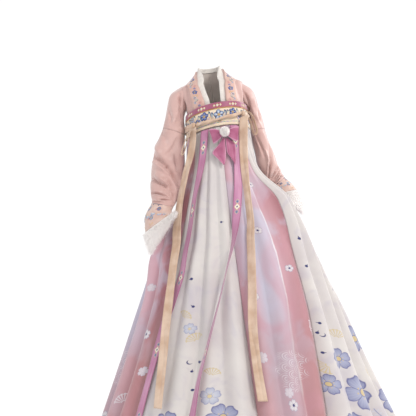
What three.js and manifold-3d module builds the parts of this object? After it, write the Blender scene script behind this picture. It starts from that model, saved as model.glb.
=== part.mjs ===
// Hanfu set, worn and hollow: a padded open-front jacket tucked into a chest-high skirt of eight panels,
// with an embroidered band, a twisted sash, two long ribbons and a bow with a fur ball.
// Millimetres, +Z up, the front faces -Y. The origin is the middle of the shoulder line, where the wearer
// holds the set up. "right" and "left" are the wearer's own sides, so right is at -X.
import * as THREE from "three";
import Module from "manifold-3d";

const wasm = await Module();
wasm.setup();

// ---------------------------------------------------------------- driving dimensions

const SEAM_GAP = 0.4; // between pieces that are sewn edge to edge
const LAYER_GAP = 0.5; // between a piece and the one that it lies on
const PADDED = 4; // thickness of the padded jacket
const LINEN = 1.5; // thickness of skirt cloth and ribbons
const BAND_CLOTH = 2; // thickness of the stiffened band
const FUR_PILE = 12; // reach of the fur trim

const BODY_LEAN = 6.5; // degrees that the upper body leans to its right
const HEM_LEVEL = -500; // the jacket's hem, inside the skirt, from the shoulder line

// Rings of the jacket's body, square to the leaning body: level above the shoulder line, middle of the ring,
// half width, and depth to the front and to the back of that middle.
const BODY_RINGS = [
  { level: 60, x: 0, y: 8, half: 49, front: 42, back: 52 },
  { level: 42, x: 0, y: 8, half: 57, front: 50, back: 60 },
  { level: 14, x: 0, y: 5, half: 86, front: 62, back: 72 },
  { level: -8, x: 0, y: 2, half: 122, front: 76, back: 84 },
  { level: -40, x: 2, y: 0, half: 124, front: 90, back: 94 },
  { level: -85, x: 6, y: 0, half: 115, front: 102, back: 99 },
  { level: -140, x: 8, y: 0, half: 110, front: 102, back: 97 },
  { level: -220, x: 6, y: 0, half: 106, front: 96, back: 92 },
  { level: -320, x: 4, y: 0, half: 106, front: 92, back: 94 },
  { level: -420, x: 0, y: 4, half: 122, front: 98, back: 108 },
  { level: HEM_LEVEL, x: 0, y: 6, half: 136, front: 106, back: 118 },
];

// The collar, station by station from the hem up the front edge and round the neck to the centre back. Each
// line is a level and an angle from the front: the jacket's own edge, the collar band's outer edge, and the
// edge of the liner that shows inside.
const COLLAR_STATIONS = [
  { level: HEM_LEVEL, angle: 15, outLevel: HEM_LEVEL, outAngle: 36, inLevel: HEM_LEVEL, inAngle: 8 },
  { level: -320, angle: 20, outLevel: -320, outAngle: 50, inLevel: -320, inAngle: 11 },
  { level: -140, angle: 21, outLevel: -140, outAngle: 49, inLevel: -140, inAngle: 11 },
  { level: -85, angle: 21, outLevel: -85, outAngle: 47, inLevel: -85, inAngle: 11 },
  { level: -40, angle: 22, outLevel: -40, outAngle: 44, inLevel: -38, inAngle: 13 },
  { level: -5, angle: 26, outLevel: -14, outAngle: 46, inLevel: 2, inAngle: 16 },
  { level: 20, angle: 41, outLevel: 2, outAngle: 56, inLevel: 29, inAngle: 26 },
  { level: 42, angle: 66, outLevel: 10, outAngle: 75, inLevel: 54, inAngle: 52 },
  { level: 55, angle: 86, outLevel: 13, outAngle: 92, inLevel: 68, inAngle: 77 },
  { level: 60, angle: 112, outLevel: 14, outAngle: 115, inLevel: 72, inAngle: 110 },
  { level: 60, angle: 146, outLevel: 15, outAngle: 147, inLevel: 72, inAngle: 146 },
  { level: 60, angle: 180, outLevel: 16, outAngle: 180, inLevel: 72, inAngle: 180 },
];
const COLLAR = COLLAR_STATIONS.map((station, place) => ({ place, ...station }));
const COLLAR_PLACES = [0, 1, 2, 3, 4, 4.5, 5, 5.5, 6, 6.5, 7, 7.5, 8, 8.5, 9, 9.5, 10, 10.5, 11];
const COLLAR_BACK = 9; // the first place that lies on the neck's ring rather than on the front edge
const COLLAR_CLOTH = 2;
const COLLAR_CLEAR = 3.7; // from the jacket to the collar band's flat facets
const LINER_CLEAR = 4.6; // from the jacket's inside to the liner
const LINER_PILE = 3; // thickness of the plush liner
const LINER_TUCK = 15; // width of the liner behind the jacket's edge

// Rings of each sleeve, from inside the shoulder to the cuff. Each is an ellipse about x, y, z. Its long half
// axis points along lean, degrees up from +X, and yaw, degrees towards +Y. depth is the other half axis.
const SLEEVE_RINGS = {
  right: [
    { place: 0, x: -88, y: 6, z: -42, half: 42, depth: 46, lean: -52, yaw: 0 },
    { place: 1, x: -124, y: 6, z: -66, half: 41, depth: 50, lean: -34, yaw: 0 },
    { place: 2, x: -139, y: 6, z: -118, half: 35, depth: 50, lean: -14, yaw: 0 },
    { place: 3, x: -148, y: 8, z: -186, half: 41, depth: 50, lean: -17, yaw: 0 },
    { place: 4, x: -163, y: 8, z: -262, half: 54, depth: 52, lean: -12, yaw: 0 },
    { place: 5, x: -170, y: 2, z: -330, half: 59, depth: 52, lean: -9, yaw: 0 },
    { place: 6, x: -175, y: -20, z: -395, half: 57, depth: 50, lean: -4, yaw: 0 },
    { place: 7, x: -182, y: -52, z: -444, half: 46, depth: 44, lean: -10, yaw: 0 },
    { place: 8, x: -187, y: -76, z: -474, half: 37, depth: 38, lean: -12, yaw: 0 },
    { place: 9, x: -198, y: -98, z: -510, half: 49, depth: 36, lean: 10, yaw: 0 },
    { place: 10, x: -194, y: -118, z: -543, half: 62, depth: 34, lean: 36, yaw: 0 },
    { place: 11, x: -178, y: -140, z: -584, half: 82, depth: 34, lean: 57, yaw: 0 },
  ],
  left: [
    { place: 0, x: 90, y: 6, z: -24, half: 42, depth: 46, lean: 52, yaw: 0 },
    { place: 1, x: 132, y: 18, z: -46, half: 36, depth: 50, lean: 36, yaw: 0 },
    { place: 2, x: 167, y: 42, z: -100, half: 24, depth: 54, lean: 14, yaw: 0 },
    { place: 3, x: 183, y: 42, z: -178, half: 29, depth: 54, lean: 14, yaw: 0 },
    { place: 4, x: 203, y: 48, z: -250, half: 34, depth: 54, lean: 18, yaw: 0 },
    { place: 5, x: 222, y: 54, z: -312, half: 40, depth: 52, lean: 24, yaw: 0 },
    { place: 6, x: 239, y: 56, z: -350, half: 40, depth: 46, lean: 34, yaw: 0 },
    { place: 7, x: 254, y: 57, z: -368, half: 36, depth: 40, lean: 42, yaw: 0 },
    { place: 8, x: 264, y: 58, z: -380, half: 33, depth: 38, lean: 42, yaw: 0 },
    { place: 9, x: 278, y: 59, z: -396, half: 37, depth: 40, lean: 34, yaw: 8 },
    { place: 10, x: 292, y: 60, z: -418, half: 47, depth: 40, lean: 14, yaw: 24 },
    { place: 11, x: 314, y: 64, z: -460, half: 78, depth: 36, lean: -34, yaw: 44 },
  ],
};
const BACK_SEAM = 1.4; // gap at the centre back, wide enough for the padded edges
const SLEEVE_GAP = 0.012; // share of the way between two rings that a seam leaves open
const PAST_SEAM = 0.3; // how far the armhole's cut runs past the upper sleeve's end
const FUR_PROUD = 5; // how far the fur stands out from the sleeve's skin
const FUR_DROP = 1.4; // opens the seam above the fur where the sleeve bends
// Where the sleeve's pieces begin and end, as places in the tables above.
const SLEEVE_SEAMS = { shoulder: 0, extension: 3, border: 8, fur: 10, end: 11 };

// The band round the chest: an oval hoop that rises to the wearer's left and to the front.
const BAND = { x: 20, y: 0, z: -112, half: 119, depth: 115, rise: 0.185, drift: 0.08, flare: 0.04 };
const BAND_STRIPS = [
  { name: "band_top_strip", height: 22, proud: 0, colour: "mauve" },
  { name: "band_piping", height: 3, proud: 1.2, colour: "gold" },
  { name: "band_main_strip", height: 54, proud: 0, colour: "cream" },
  { name: "band_lower_strip", height: 11, proud: 0.6, colour: "cream" },
];
const BAND_HEIGHT = BAND_STRIPS.reduce((sum, strip) => sum + strip.height, 0);
const WAIST = BAND.z - BAND_HEIGHT; // height at which the skirt is sewn to the band

// Rings of the skirt: height of the ring, its middle in x and y, half widths to the wearer's right and left,
// depths to the front and back, how much of the band's rise is left, and how far the folds go in.
const SKIRT_RINGS = [
  { z: WAIST, x: 28, y: 0, right: 124, left: 124, front: 117, back: 117, rise: 1, fold: 3 },
  { z: -300, x: 38, y: 8, right: 138, left: 135, front: 133, back: 118, rise: 0.8, fold: 6 },
  { z: -370, x: 46, y: 18, right: 160, left: 149, front: 154, back: 118, rise: 0.62, fold: 9 },
  { z: -474, x: 57, y: 18, right: 198, left: 192, front: 173, back: 136, rise: 0.4, fold: 13 },
  { z: -600, x: 71, y: 6, right: 244, left: 262, front: 188, back: 178, rise: 0.25, fold: 18 },
  { z: -700, x: 82, y: 0, right: 302, left: 322, front: 210, back: 214, rise: 0.15, fold: 22 },
  { z: -840, x: 97, y: 0, right: 370, left: 392, front: 254, back: 258, rise: 0.08, fold: 27 },
  { z: -1060, x: 122, y: 0, right: 467, left: 474, front: 326, back: 332, rise: 0.02, fold: 32 },
  { z: -1345, x: 152, y: 0, right: 592, left: 590, front: 427, back: 442, rise: 0, fold: 40 },
];

// Angles of the seams round the skirt, in degrees from the front towards the wearer's left, at five heights.
// The pull of the wearer's left hand draws the seam beside it round.
const SEAMS = [
  { z: WAIST, s0: -180, s1: -137, s2: -92, s3: -47, s4: 3, s5: 44, s6: 90, s7: 137, s8: 180 },
  { z: -474, s0: -180, s1: -137, s2: -98, s3: -50, s4: 2, s5: 58, s6: 94, s7: 137, s8: 180 },
  { z: -740, s0: -180, s1: -137, s2: -94, s3: -47, s4: 2, s5: 47, s6: 90, s7: 137, s8: 180 },
  { z: -1040, s0: -180, s1: -137, s2: -93, s3: -48, s4: 2, s5: 36.5, s6: 86, s7: 137, s8: 180 },
  { z: -1345, s0: -180, s1: -137, s2: -92, s3: -53, s4: 2.5, s5: 28, s6: 84, s7: 137, s8: 180 },
];
const PANELS = 8;
const RIDGE_ROUND = 0.8; // under 1, so that ridges are broad and valleys narrow

// Valleys between the folds. at is in twelfths of a panel, and deep is a share of the ring's fold.
const VALLEYS = [
  { panel: 0, at: 0, deep: 1 },
  { panel: 0, at: 4, deep: 0.8 },
  { panel: 0, at: 8, deep: 1 },
  { panel: 1, at: 0, deep: 0.7 },
  { panel: 1, at: 5, deep: 1 },
  { panel: 1, at: 8, deep: 0.6 },
  { panel: 2, at: 0, deep: 0.9 },
  { panel: 2, at: 4, deep: 0.8 },
  { panel: 2, at: 8, deep: 0.9 },
  { panel: 3, at: 0, deep: 0.8 },
  { panel: 3, at: 3, deep: 0.5 },
  { panel: 3, at: 6, deep: 0.8 },
  { panel: 3, at: 9, deep: 0.6 },
  { panel: 4, at: 0, deep: 1 },
  { panel: 4, at: 4, deep: 0.6 },
  { panel: 4, at: 8, deep: 0.7 },
  { panel: 5, at: 0, deep: 1 },
  { panel: 5, at: 3, deep: 0.7 },
  { panel: 5, at: 6, deep: 0.9 },
  { panel: 5, at: 9, deep: 0.8 },
  { panel: 6, at: 0, deep: 0.9 },
  { panel: 6, at: 4, deep: 0.7 },
  { panel: 6, at: 8, deep: 1 },
  { panel: 7, at: 0, deep: 0.8 },
  { panel: 7, at: 3, deep: 1 },
  { panel: 7, at: 8, deep: 0.8 },
  { panel: 8, at: 0, deep: 1 },
];

// Where the skirt is held up and out at each side: height and angle of the peak, how far it is drawn out
// and forward, and how far the pull reaches up, down and round.
const HOLDS = [
  { at: -70, z: -600, out: -50, forward: 20, above: 70, below: 150, spread: 16 },
  { at: 68, z: -474, out: 70, forward: 26, above: 80, below: 250, spread: 15 },
];

// Strips that hang over the skirt: their width and how far they lie off it, and, at each height, the angle
// round the skirt and how far the strip is turned on edge, in degrees.
const HANGING = {
  ribbon_right: {
    width: 32,
    clear: 3,
    stations: [
      { z: -206, at: -24, turn: 0 },
      { z: -333, at: -31, turn: 10 },
      { z: -460, at: -36, turn: 42 },
      { z: -620, at: -37.5, turn: 42 },
      { z: -720, at: -36, turn: 30 },
      { z: -820, at: -39, turn: 8 },
      { z: -940, at: -43, turn: 0 },
      { z: -1100, at: -45, turn: 12 },
      { z: -1310, at: -47, turn: 0 },
    ],
  },
  ribbon_left: {
    width: 32,
    clear: 3,
    stations: [
      { z: -206, at: 26, turn: 0 },
      { z: -334, at: 23, turn: 5 },
      { z: -405, at: 18, turn: 0 },
      { z: -475, at: 11.6, turn: 10 },
      { z: -546, at: 6, turn: 34 },
      { z: -617, at: 1.5, turn: 66 },
      { z: -716, at: -5, turn: 78 },
      { z: -825, at: -10, turn: 74 },
      { z: -960, at: -15.7, turn: 62 },
      { z: -1094, at: -20, turn: 50 },
      { z: -1211, at: -22, turn: 30 },
      { z: -1300, at: -23.5, turn: 16 },
    ],
  },
  sash_tail_right: {
    width: 36,
    clear: 12,
    stations: [
      { z: -192, at: -40, turn: 56 },
      { z: -280, at: -45, turn: 54 },
      { z: -350, at: -52, turn: 44 },
      { z: -450, at: -54, turn: 20 },
      { z: -530, at: -50.6, turn: 4 },
      { z: -620, at: -45.6, turn: 0 },
      { z: -720, at: -42, turn: 4 },
      { z: -830, at: -40, turn: 0 },
      { z: -1000, at: -38, turn: 0 },
      { z: -1192, at: -36, turn: 6 },
    ],
  },
  sash_tail_left: {
    width: 34,
    clear: 9,
    stations: [
      { z: -178, at: 41, turn: 62 },
      { z: -263, at: 34, turn: 56 },
      { z: -335, at: 29, turn: 56 },
      { z: -463, at: 21, turn: 70 },
      { z: -549, at: 17.4, turn: 58 },
      { z: -619, at: 13.5, turn: 48 },
      { z: -760, at: 8.7, turn: 36 },
      { z: -960, at: 4.7, turn: 28 },
      { z: -1060, at: 4.3, turn: 28 },
      { z: -1160, at: 4.6, turn: 8 },
    ],
  },
};

// The sash over the band: angle round it and depth below its top edge.
const SASH = {
  knotRight: { angle: -42, below: 66 },
  knotLeft: { angle: 46, below: 51 },
  front: [
    { angle: -37, below: 67, twist: 0 },
    { angle: -20, below: 70, twist: 120 },
    { angle: 0, below: 68, twist: 240 },
    { angle: 22, below: 61, twist: 350 },
    { angle: 41, below: 52, twist: 450 },
  ],
  back: [
    { angle: 51, below: 50 },
    { angle: 110, below: 48 },
    { angle: 180, below: 48 },
    { angle: 250, below: 47 },
    { angle: 313, below: 63 },
  ],
  wide: 20, // the twisted stretch across the front
  thick: 9,
  flat: 24, // the flat stretch round the back
  knot: 11, // radius of a knot
  knotLow: 0.7, // the knot's half width as a share of its bulge
  knotDeep: 0.9, // the same for its depth
  knotBlunt: 1.08, // over 1, so that the knot's two ends are blunt
  clear: 1, // from the band to the sash
};

// Loops of the sash, as points of their middle line in x, y, z, and the way their width points.
const LOOPS = {
  sash_loop_right: {
    width: 15,
    facing: { x: 0.3, y: -0.92, z: 0.25 },
    line: [
      { x: -80, y: -100, z: -194 },
      { x: -94, y: -102, z: -222 },
      { x: -108, y: -92, z: -262 },
      { x: -112, y: -84, z: -284 },
      { x: -104, y: -84, z: -284 },
      { x: -94, y: -94, z: -256 },
      { x: -84, y: -108, z: -222 },
      { x: -77, y: -112, z: -200 },
    ],
  },
  sash_loop_left: {
    width: 15,
    facing: { x: 0.42, y: -0.9, z: -0.1 },
    line: [
      { x: 132, y: -84, z: -122 },
      { x: 146, y: -84, z: -126 },
      { x: 160, y: -80, z: -152 },
      { x: 172, y: -70, z: -190 },
      { x: 166, y: -70, z: -206 },
      { x: 158, y: -74, z: -186 },
      { x: 148, y: -84, z: -156 },
      { x: 138, y: -84, z: -138 },
    ],
  },
};

// The bow below the band: its middle, the fur ball, and the outlines of its loops and tails from that middle.
const BOW = {
  x: 47,
  z: -207,
  clear: 9,
  ball: 19,
  ballFront: 18, // from the bow's middle to the ball's back
  loops: [
    { name: "bow_loop_right", x: -0.955, z: -0.296 },
    { name: "bow_loop_left", x: 0.98, z: -0.1 },
  ],
  loopLine: [
    { out: 9, front: 13, tall: 15 },
    { out: 22, front: 17, tall: 34 },
    { out: 38, front: 14, tall: 50 },
    { out: 48, front: 8, tall: 54 },
    { out: 39, front: 2.5, tall: 50 },
    { out: 22, front: 2, tall: 34 },
    { out: 9, front: 4, tall: 15 },
  ],
  tails: [
    {
      name: "bow_tail_right",
      outline: [
        { outerX: -6, outerZ: -20, innerX: 1, innerZ: -20 },
        { outerX: -22, outerZ: -46, innerX: 3, innerZ: -44 },
        { outerX: -43, outerZ: -76, innerX: 6, innerZ: -72 },
        { outerX: -24, outerZ: -98, innerX: 5, innerZ: -95 },
        { outerX: -4, outerZ: -121, innerX: 1, innerZ: -120 },
      ],
    },
    {
      name: "bow_tail_left",
      outline: [
        { outerX: 12, outerZ: -20, innerX: 4, innerZ: -20 },
        { outerX: 41, outerZ: -46, innerX: 5.5, innerZ: -44 },
        { outerX: 43, outerZ: -76, innerX: 9, innerZ: -72 },
        { outerX: 41, outerZ: -98, innerX: 22, innerZ: -93 },
        { outerX: 39, outerZ: -116, innerX: 35, innerZ: -114 },
      ],
    },
  ],
};

const CLOTH_ROUGHNESS = 0.85;
const COLOURS = {
  pink: 0xd6b2a5,
  cuff: 0xd9b3a6,
  fur: 0xf0e9e4,
  liner: 0xf2ece6,
  mauve: 0xb0617f,
  ribbon: 0xc98fb2,
  gold: 0xc9a15c,
  cream: 0xf0e0c4,
  tan: 0xdebc9e,
  ivory: 0xe6dfd8,
  rose: 0xcfa6b2,
};

// ---------------------------------------------------------------- fineness

const BODY_LEVELS = [60, 51, 42, 31, 20, 8, -8, -40, -64, -90, -140, -320, HEM_LEVEL];
const BODY_COLUMNS = 9; // facets round half of the body
const SLEEVE_COLUMNS = 12; // facets round a sleeve
const SLEEVE_ROWS = 6;
const ARM_ROWS = 5; // along the jacket's own upper sleeve
const CUFF_ROWS = 3;
const COLLAR_WIDE = 3; // facets across the collar band
const TWELFTHS = 12; // facets across a skirt panel
const BAND_COLUMNS = 24;
const STRIP_ROWS = 12; // facets along a hanging strip
const SASH_ROWS = 14;
const SASH_BACK_ROWS = 18;
const SASH_ROUND = 8; // facets round the twisted sash
const KNOT_ROWS = 6;
const KNOT_ROUND = 10;
const LOOP_ROWS = 14;
const BALL_DETAIL = 2;
const ACROSS = [-0.5, 0.5]; // the two edges of a strip, as shares of its width

// ---------------------------------------------------------------- tables and curves

const radians = THREE.MathUtils.degToRad;
const mix = THREE.MathUtils.lerp;

// Smooth value of one column at a place, with no overshoot between rows.
function columnAt(rows, key, column, place) {
  const rising = rows[1][key] > rows[0][key] ? 1 : -1;
  let i = 0;
  while (i < rows.length - 2 && rising * place > rising * rows[i + 1][key]) i += 1;
  const slope = (k) => (rows[k + 1][column] - rows[k][column]) / (rows[k + 1][key] - rows[k][key]);
  const tangent = (k) => {
    if (k === 0) return slope(0);
    if (k === rows.length - 1) return slope(k - 1);
    const before = slope(k - 1);
    const after = slope(k);
    return before * after <= 0 ? 0 : (2 * before * after) / (before + after);
  };
  const span = rows[i + 1][key] - rows[i][key];
  const t = THREE.MathUtils.clamp((place - rows[i][key]) / span, 0, 1);
  const t2 = t * t;
  const t3 = t2 * t;
  return (
    (2 * t3 - 3 * t2 + 1) * rows[i][column] +
    (t3 - 2 * t2 + t) * span * tangent(i) +
    (3 * t2 - 2 * t3) * rows[i + 1][column] +
    (t3 - t2) * span * tangent(i + 1)
  );
}

// All columns of a table at a place along the key column.
function rowAt(rows, key, place) {
  const result = {};
  for (const column of Object.keys(rows[0])) {
    result[column] = column === key ? place : columnAt(rows, key, column, place);
  }
  return result;
}

// Evenly spaced values, both ends included.
function steps(from, to, count) {
  return Array.from({ length: count + 1 }, (_, i) => mix(from, to, i / count));
}

// ---------------------------------------------------------------- walls and solids

// Closed geometry from vertices and triangles, turned so that its faces point out.
function closedGeometry(points, triangles) {
  let volume = 0;
  for (const [a, b, c] of triangles) {
    volume += points[a].dot(points[b].clone().cross(points[c]));
  }
  const facing = volume < 0 ? triangles.map(([a, b, c]) => [a, c, b]) : triangles;
  const geometry = new THREE.BufferGeometry();
  geometry.setAttribute(
    "position",
    new THREE.Float32BufferAttribute(points.flatMap((p) => [p.x, p.y, p.z]), 3),
  );
  geometry.setIndex(facing.flat());
  return geometry;
}

// Normals of a grid of points, along columns x rows; the last column joins the first when looped.
function gridNormals(grid, looped) {
  const rows = grid.length;
  const columns = grid[0].length;
  const pick = (j) => (looped ? (j + columns) % columns : THREE.MathUtils.clamp(j, 0, columns - 1));
  return grid.map((row, i) =>
    row.map((_, j) => {
      const across = row[pick(j + 1)].clone().sub(row[pick(j - 1)]);
      const down = grid[Math.min(i + 1, rows - 1)][j].clone().sub(grid[Math.max(i - 1, 0)][j]);
      return across.cross(down).normalize();
    }),
  );
}

// The face that lies a thickness behind a grid of points, along its normals.
function behindGrid(grid, thickness, looped) {
  const normals = gridNormals(grid, looped);
  return grid.map((row, i) => row.map((p, j) => p.clone().addScaledVector(normals[i][j], thickness)));
}

// A closed wall between an outer and an inner face, with rims along its edges.
function wallBetween(outerGrid, innerGrid, looped = false) {
  const rows = outerGrid.length;
  const columns = outerGrid[0].length;
  const points = [...outerGrid.flat(), ...innerGrid.flat()];
  const behind = rows * columns;
  const at = (i, j) => i * columns + (j % columns);
  const triangles = [];
  const quad = (a, b, c, d) => triangles.push([a, b, c], [a, c, d]);
  const spans = looped ? columns : columns - 1;
  for (let i = 0; i < rows - 1; i += 1) {
    for (let j = 0; j < spans; j += 1) {
      quad(at(i, j), at(i + 1, j), at(i + 1, j + 1), at(i, j + 1));
      quad(behind + at(i, j), behind + at(i, j + 1), behind + at(i + 1, j + 1), behind + at(i + 1, j));
    }
  }
  const bottom = rows - 1;
  for (let j = 0; j < spans; j += 1) {
    quad(at(0, j), at(0, j + 1), behind + at(0, j + 1), behind + at(0, j));
    quad(at(bottom, j), behind + at(bottom, j), behind + at(bottom, j + 1), at(bottom, j + 1));
  }
  const end = columns - 1;
  for (let i = 0; !looped && i < bottom; i += 1) {
    quad(at(i, 0), behind + at(i, 0), behind + at(i + 1, 0), at(i + 1, 0));
    quad(at(i, end), at(i + 1, end), behind + at(i + 1, end), behind + at(i, end));
  }
  return closedGeometry(points, triangles);
}

// A cloth wall behind a grid whose rows run down and whose columns run towards the wearer's left, seen from
// outside. A negative thickness suits a grid that runs the other way.
function wall(grid, thickness) {
  return wallBetween(grid, behindGrid(grid, thickness, false));
}

// A filled solid through closed rings, with a middle point at each end.
function filled(rings) {
  const count = rings[0].length;
  const points = rings.flat();
  const middle = (ring) => ring.reduce((sum, p) => sum.add(p), new THREE.Vector3()).divideScalar(count);
  const first = points.push(middle(rings[0])) - 1;
  const last = points.push(middle(rings[rings.length - 1])) - 1;
  const triangles = [];
  for (let j = 0; j < count; j += 1) {
    const next = (j + 1) % count;
    for (let i = 0; i < rings.length - 1; i += 1) {
      const here = i * count;
      const below = here + count;
      triangles.push([here + j, below + j, below + next], [here + j, below + next, here + next]);
    }
    const end = (rings.length - 1) * count;
    triangles.push([first, j, next], [last, end + next, end + j]);
  }
  return closedGeometry(points, triangles);
}

function solidFrom(geometry) {
  const vertProperties = new Float32Array(geometry.attributes.position.array);
  const triVerts = new Uint32Array(geometry.index.array);
  return new wasm.Manifold(new wasm.Mesh({ numProp: 3, vertProperties, triVerts }));
}

function geometryFrom(solid) {
  const made = solid.getMesh();
  const geometry = new THREE.BufferGeometry();
  geometry.setAttribute("position", new THREE.Float32BufferAttribute(made.vertProperties, 3));
  geometry.setIndex(Array.from(made.triVerts));
  return geometry;
}

// ---------------------------------------------------------------- jacket

// A point of the jacket's outer face at an angle from the front and a level, moved out by a distance.
function bodyPoint(angle, level, out = 0) {
  const ring = rowAt(BODY_RINGS, "level", level);
  const x = ring.x + (ring.half + out) * Math.sin(angle);
  const depth = (Math.cos(angle) > 0 ? ring.front : ring.back) + out;
  const y = ring.y - depth * Math.cos(angle);
  const lean = radians(BODY_LEAN);
  return new THREE.Vector3(
    x * Math.cos(lean) - level * Math.sin(lean),
    y,
    x * Math.sin(lean) + level * Math.cos(lean),
  );
}

// A point of a sleeve's outer face: place along its rings, and angle round from its upper side.
function sleevePoint(side, place, angle, out = 0) {
  const ring = rowAt(SLEEVE_RINGS[side], "place", place);
  const lean = radians(ring.lean);
  const yaw = radians(ring.yaw);
  const long = new THREE.Vector3(
    Math.cos(lean) * Math.cos(yaw),
    Math.sin(yaw),
    Math.sin(lean) * Math.cos(yaw),
  );
  const short = new THREE.Vector3(
    -Math.cos(lean) * Math.sin(yaw),
    Math.cos(yaw),
    -Math.sin(lean) * Math.sin(yaw),
  );
  return new THREE.Vector3(ring.x, ring.y, ring.z)
    .addScaledVector(long, (ring.half + out) * Math.cos(angle))
    .addScaledVector(short, (ring.depth + out) * Math.sin(angle));
}


function sleeveGrid(side, places, out = 0) {
  const angles = steps(0, 2 * Math.PI, SLEEVE_COLUMNS).slice(0, -1);
  return places.map((place) => angles.map((angle) => sleevePoint(side, place, angle, out)));
}


// Half of the jacket: front, back and upper sleeve in one, from the centre back to the front edge.
function jacketBody(side) {
  const sign = side === "right" ? -1 : 1;
  const edge = COLLAR.slice(0, COLLAR_BACK + 1);
  const grid = BODY_LEVELS.map((level) => {
    const front = radians(columnAt(edge, "level", "angle", level));
    const back = Math.PI - BACK_SEAM / 2 / rowAt(BODY_RINGS, "level", level).half;
    return steps(front, back, BODY_COLUMNS).map((angle) => bodyPoint(sign * angle, level));
  });
  const shell = solidFrom(wall(grid, sign * PADDED));
  const round = steps(0, 2 * Math.PI, 2 * BODY_COLUMNS).slice(0, -1);
  const hollow = solidFrom(
    filled(BODY_LEVELS.map((level) => round.map((angle) => bodyPoint(angle, level, -PADDED / 2)))),
  );
  const { shoulder, extension } = SLEEVE_SEAMS;
  const upper = steps(shoulder, extension - SLEEVE_GAP, ARM_ROWS);
  const past = steps(shoulder, extension + PAST_SEAM, ARM_ROWS + 1);
  const arm = solidFrom(filled(sleeveGrid(side, upper)));
  const armHollow = solidFrom(filled(sleeveGrid(side, past, -PADDED)));
  return geometryFrom(shell.subtract(armHollow).add(arm.subtract(armHollow).subtract(hollow)));
}

// A stretch of sleeve between two places, from its outer reach in to a depth below the sleeve's skin.
function sleevePiece(side, from, to, rows, outside, inside) {
  const places = steps(from + SLEEVE_GAP, to - SLEEVE_GAP, rows);
  return wallBetween(sleeveGrid(side, places, outside), sleeveGrid(side, places, -inside), true);
}

function furPiece(side, from, to) {
  return sleevePiece(side, from, to, CUFF_ROWS, FUR_PROUD, FUR_PILE - FUR_PROUD).translate(0, 0, -FUR_DROP);
}

// One side's stations of the collar, each with its points across the strip.
function collarStations(side, pointsOf) {
  const sign = side === "right" ? -1 : 1;
  return COLLAR_PLACES.map((place) =>
    pointsOf(rowAt(COLLAR, "place", place)).map(({ angle, level, out }) =>
      bodyPoint(sign * radians(angle), level, out),
    ),
  );
}

// A strip from one hem up round the neck and down to the other hem.
function collarStrip(pointsOf, thickness) {
  const right = collarStations("right", pointsOf);
  const left = collarStations("left", pointsOf).reverse().slice(1);
  return wall([...right, ...left], -thickness);
}

function collarBand() {
  const out = COLLAR_CLOTH + COLLAR_CLEAR;
  return collarStrip(
    ({ level, angle, outLevel, outAngle }) =>
      steps(0, 1, COLLAR_WIDE).map((share) => ({
        level: mix(outLevel, level, share),
        angle: mix(outAngle, angle, share),
        out,
      })),
    COLLAR_CLOTH,
  );
}

function collarLiner() {
  const out = -PADDED - LINER_CLEAR;
  return collarStrip(({ level, angle, outLevel, outAngle, inLevel, inAngle }) => {
    const inward = Math.hypot(level - outLevel, 2 * (angle - outAngle));
    const tuck = LINER_TUCK / inward;
    return [
      { level: mix(level, outLevel, tuck), angle: mix(angle, outAngle, tuck), out },
      { level, angle, out },
      { level: inLevel, angle: inAngle, out },
    ];
  }, LINER_PILE);
}

// ---------------------------------------------------------------- band and skirt

// A point of the band's outer face: angle round from the front, distance below the top edge.
function bandPoint(angle, below, out = 0) {
  const x = (BAND.half + BAND.flare * below + out) * Math.sin(angle);
  const y = -(BAND.depth + BAND.flare * below + out) * Math.cos(angle);
  const z = BAND.z + BAND.rise * (x - y) - below;
  return new THREE.Vector3(BAND.x + BAND.drift * below + x, BAND.y + y, z);
}

// The skin over the skirt's ridges: angle in degrees, height of its ring, and a distance out from it.
function skirtSkin(degrees, height, out = 0) {
  const ring = rowAt(SKIRT_RINGS, "z", height);
  const angle = radians(degrees);
  let x = ((degrees < 0 ? ring.right : ring.left) + out) * Math.sin(angle);
  let y = -((Math.abs(degrees) < 90 ? ring.front : ring.back) + out) * Math.cos(angle);
  for (const hold of HOLDS) {
    const reach = height > hold.z ? hold.above : hold.below;
    const pull =
      Math.exp(-(((height - hold.z) / reach) ** 2)) * Math.exp(-(((degrees - hold.at) / hold.spread) ** 2));
    x += hold.out * pull;
    y -= hold.forward * pull;
  }
  return new THREE.Vector3(ring.x + x, ring.y + y, height + BAND.rise * ring.rise * (x - y));
}

// How far the folds go in, from 0 on a ridge to the depth of the nearest valley. across is in panels.
function foldShare(across) {
  const places = VALLEYS.map((valley) => valley.panel + valley.at / TWELFTHS);
  let i = 0;
  while (i < places.length - 2 && across > places[i + 1]) i += 1;
  const share = THREE.MathUtils.clamp((across - places[i]) / (places[i + 1] - places[i]), 0, 1);
  const arch = Math.sin(Math.PI * share) ** RIDGE_ROUND;
  return mix(VALLEYS[i].deep, VALLEYS[i + 1].deep, share) * (1 - arch);
}

// A point of the skirt's cloth, with its folds. across runs from 0 to the number of panels.
function skirtPoint(across, height) {
  const panel = Math.min(Math.floor(across), PANELS - 1);
  const seams = rowAt(SEAMS, "z", height);
  const degrees = mix(seams[`s${panel}`], seams[`s${panel + 1}`], across - panel);
  return skirtSkin(degrees, height, -columnAt(SKIRT_RINGS, "z", "fold", height) * foldShare(across));
}

function skirtPanel(index) {
  const grid = SKIRT_RINGS.map(({ z, front }, i) => {
    const gap = SEAM_GAP / front;
    const height = i === 0 ? z - SEAM_GAP : z;
    return steps(index + gap, index + 1 - gap, TWELFTHS).map((across) => skirtPoint(across, height));
  });
  return wall(grid, LINEN);
}

function bandStrip(strip, top) {
  const edge = Math.PI - SEAM_GAP / BAND.depth;
  const angles = steps(-edge, edge, BAND_COLUMNS);
  const rows = [top + SEAM_GAP / 2, top + strip.height - SEAM_GAP / 2];
  const face = (out) => rows.map((below) => angles.map((angle) => bandPoint(angle, below, out)));
  return wallBetween(face(strip.proud), face(strip.proud - BAND_CLOTH));
}

// ---------------------------------------------------------------- strips, knots and bow

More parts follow.
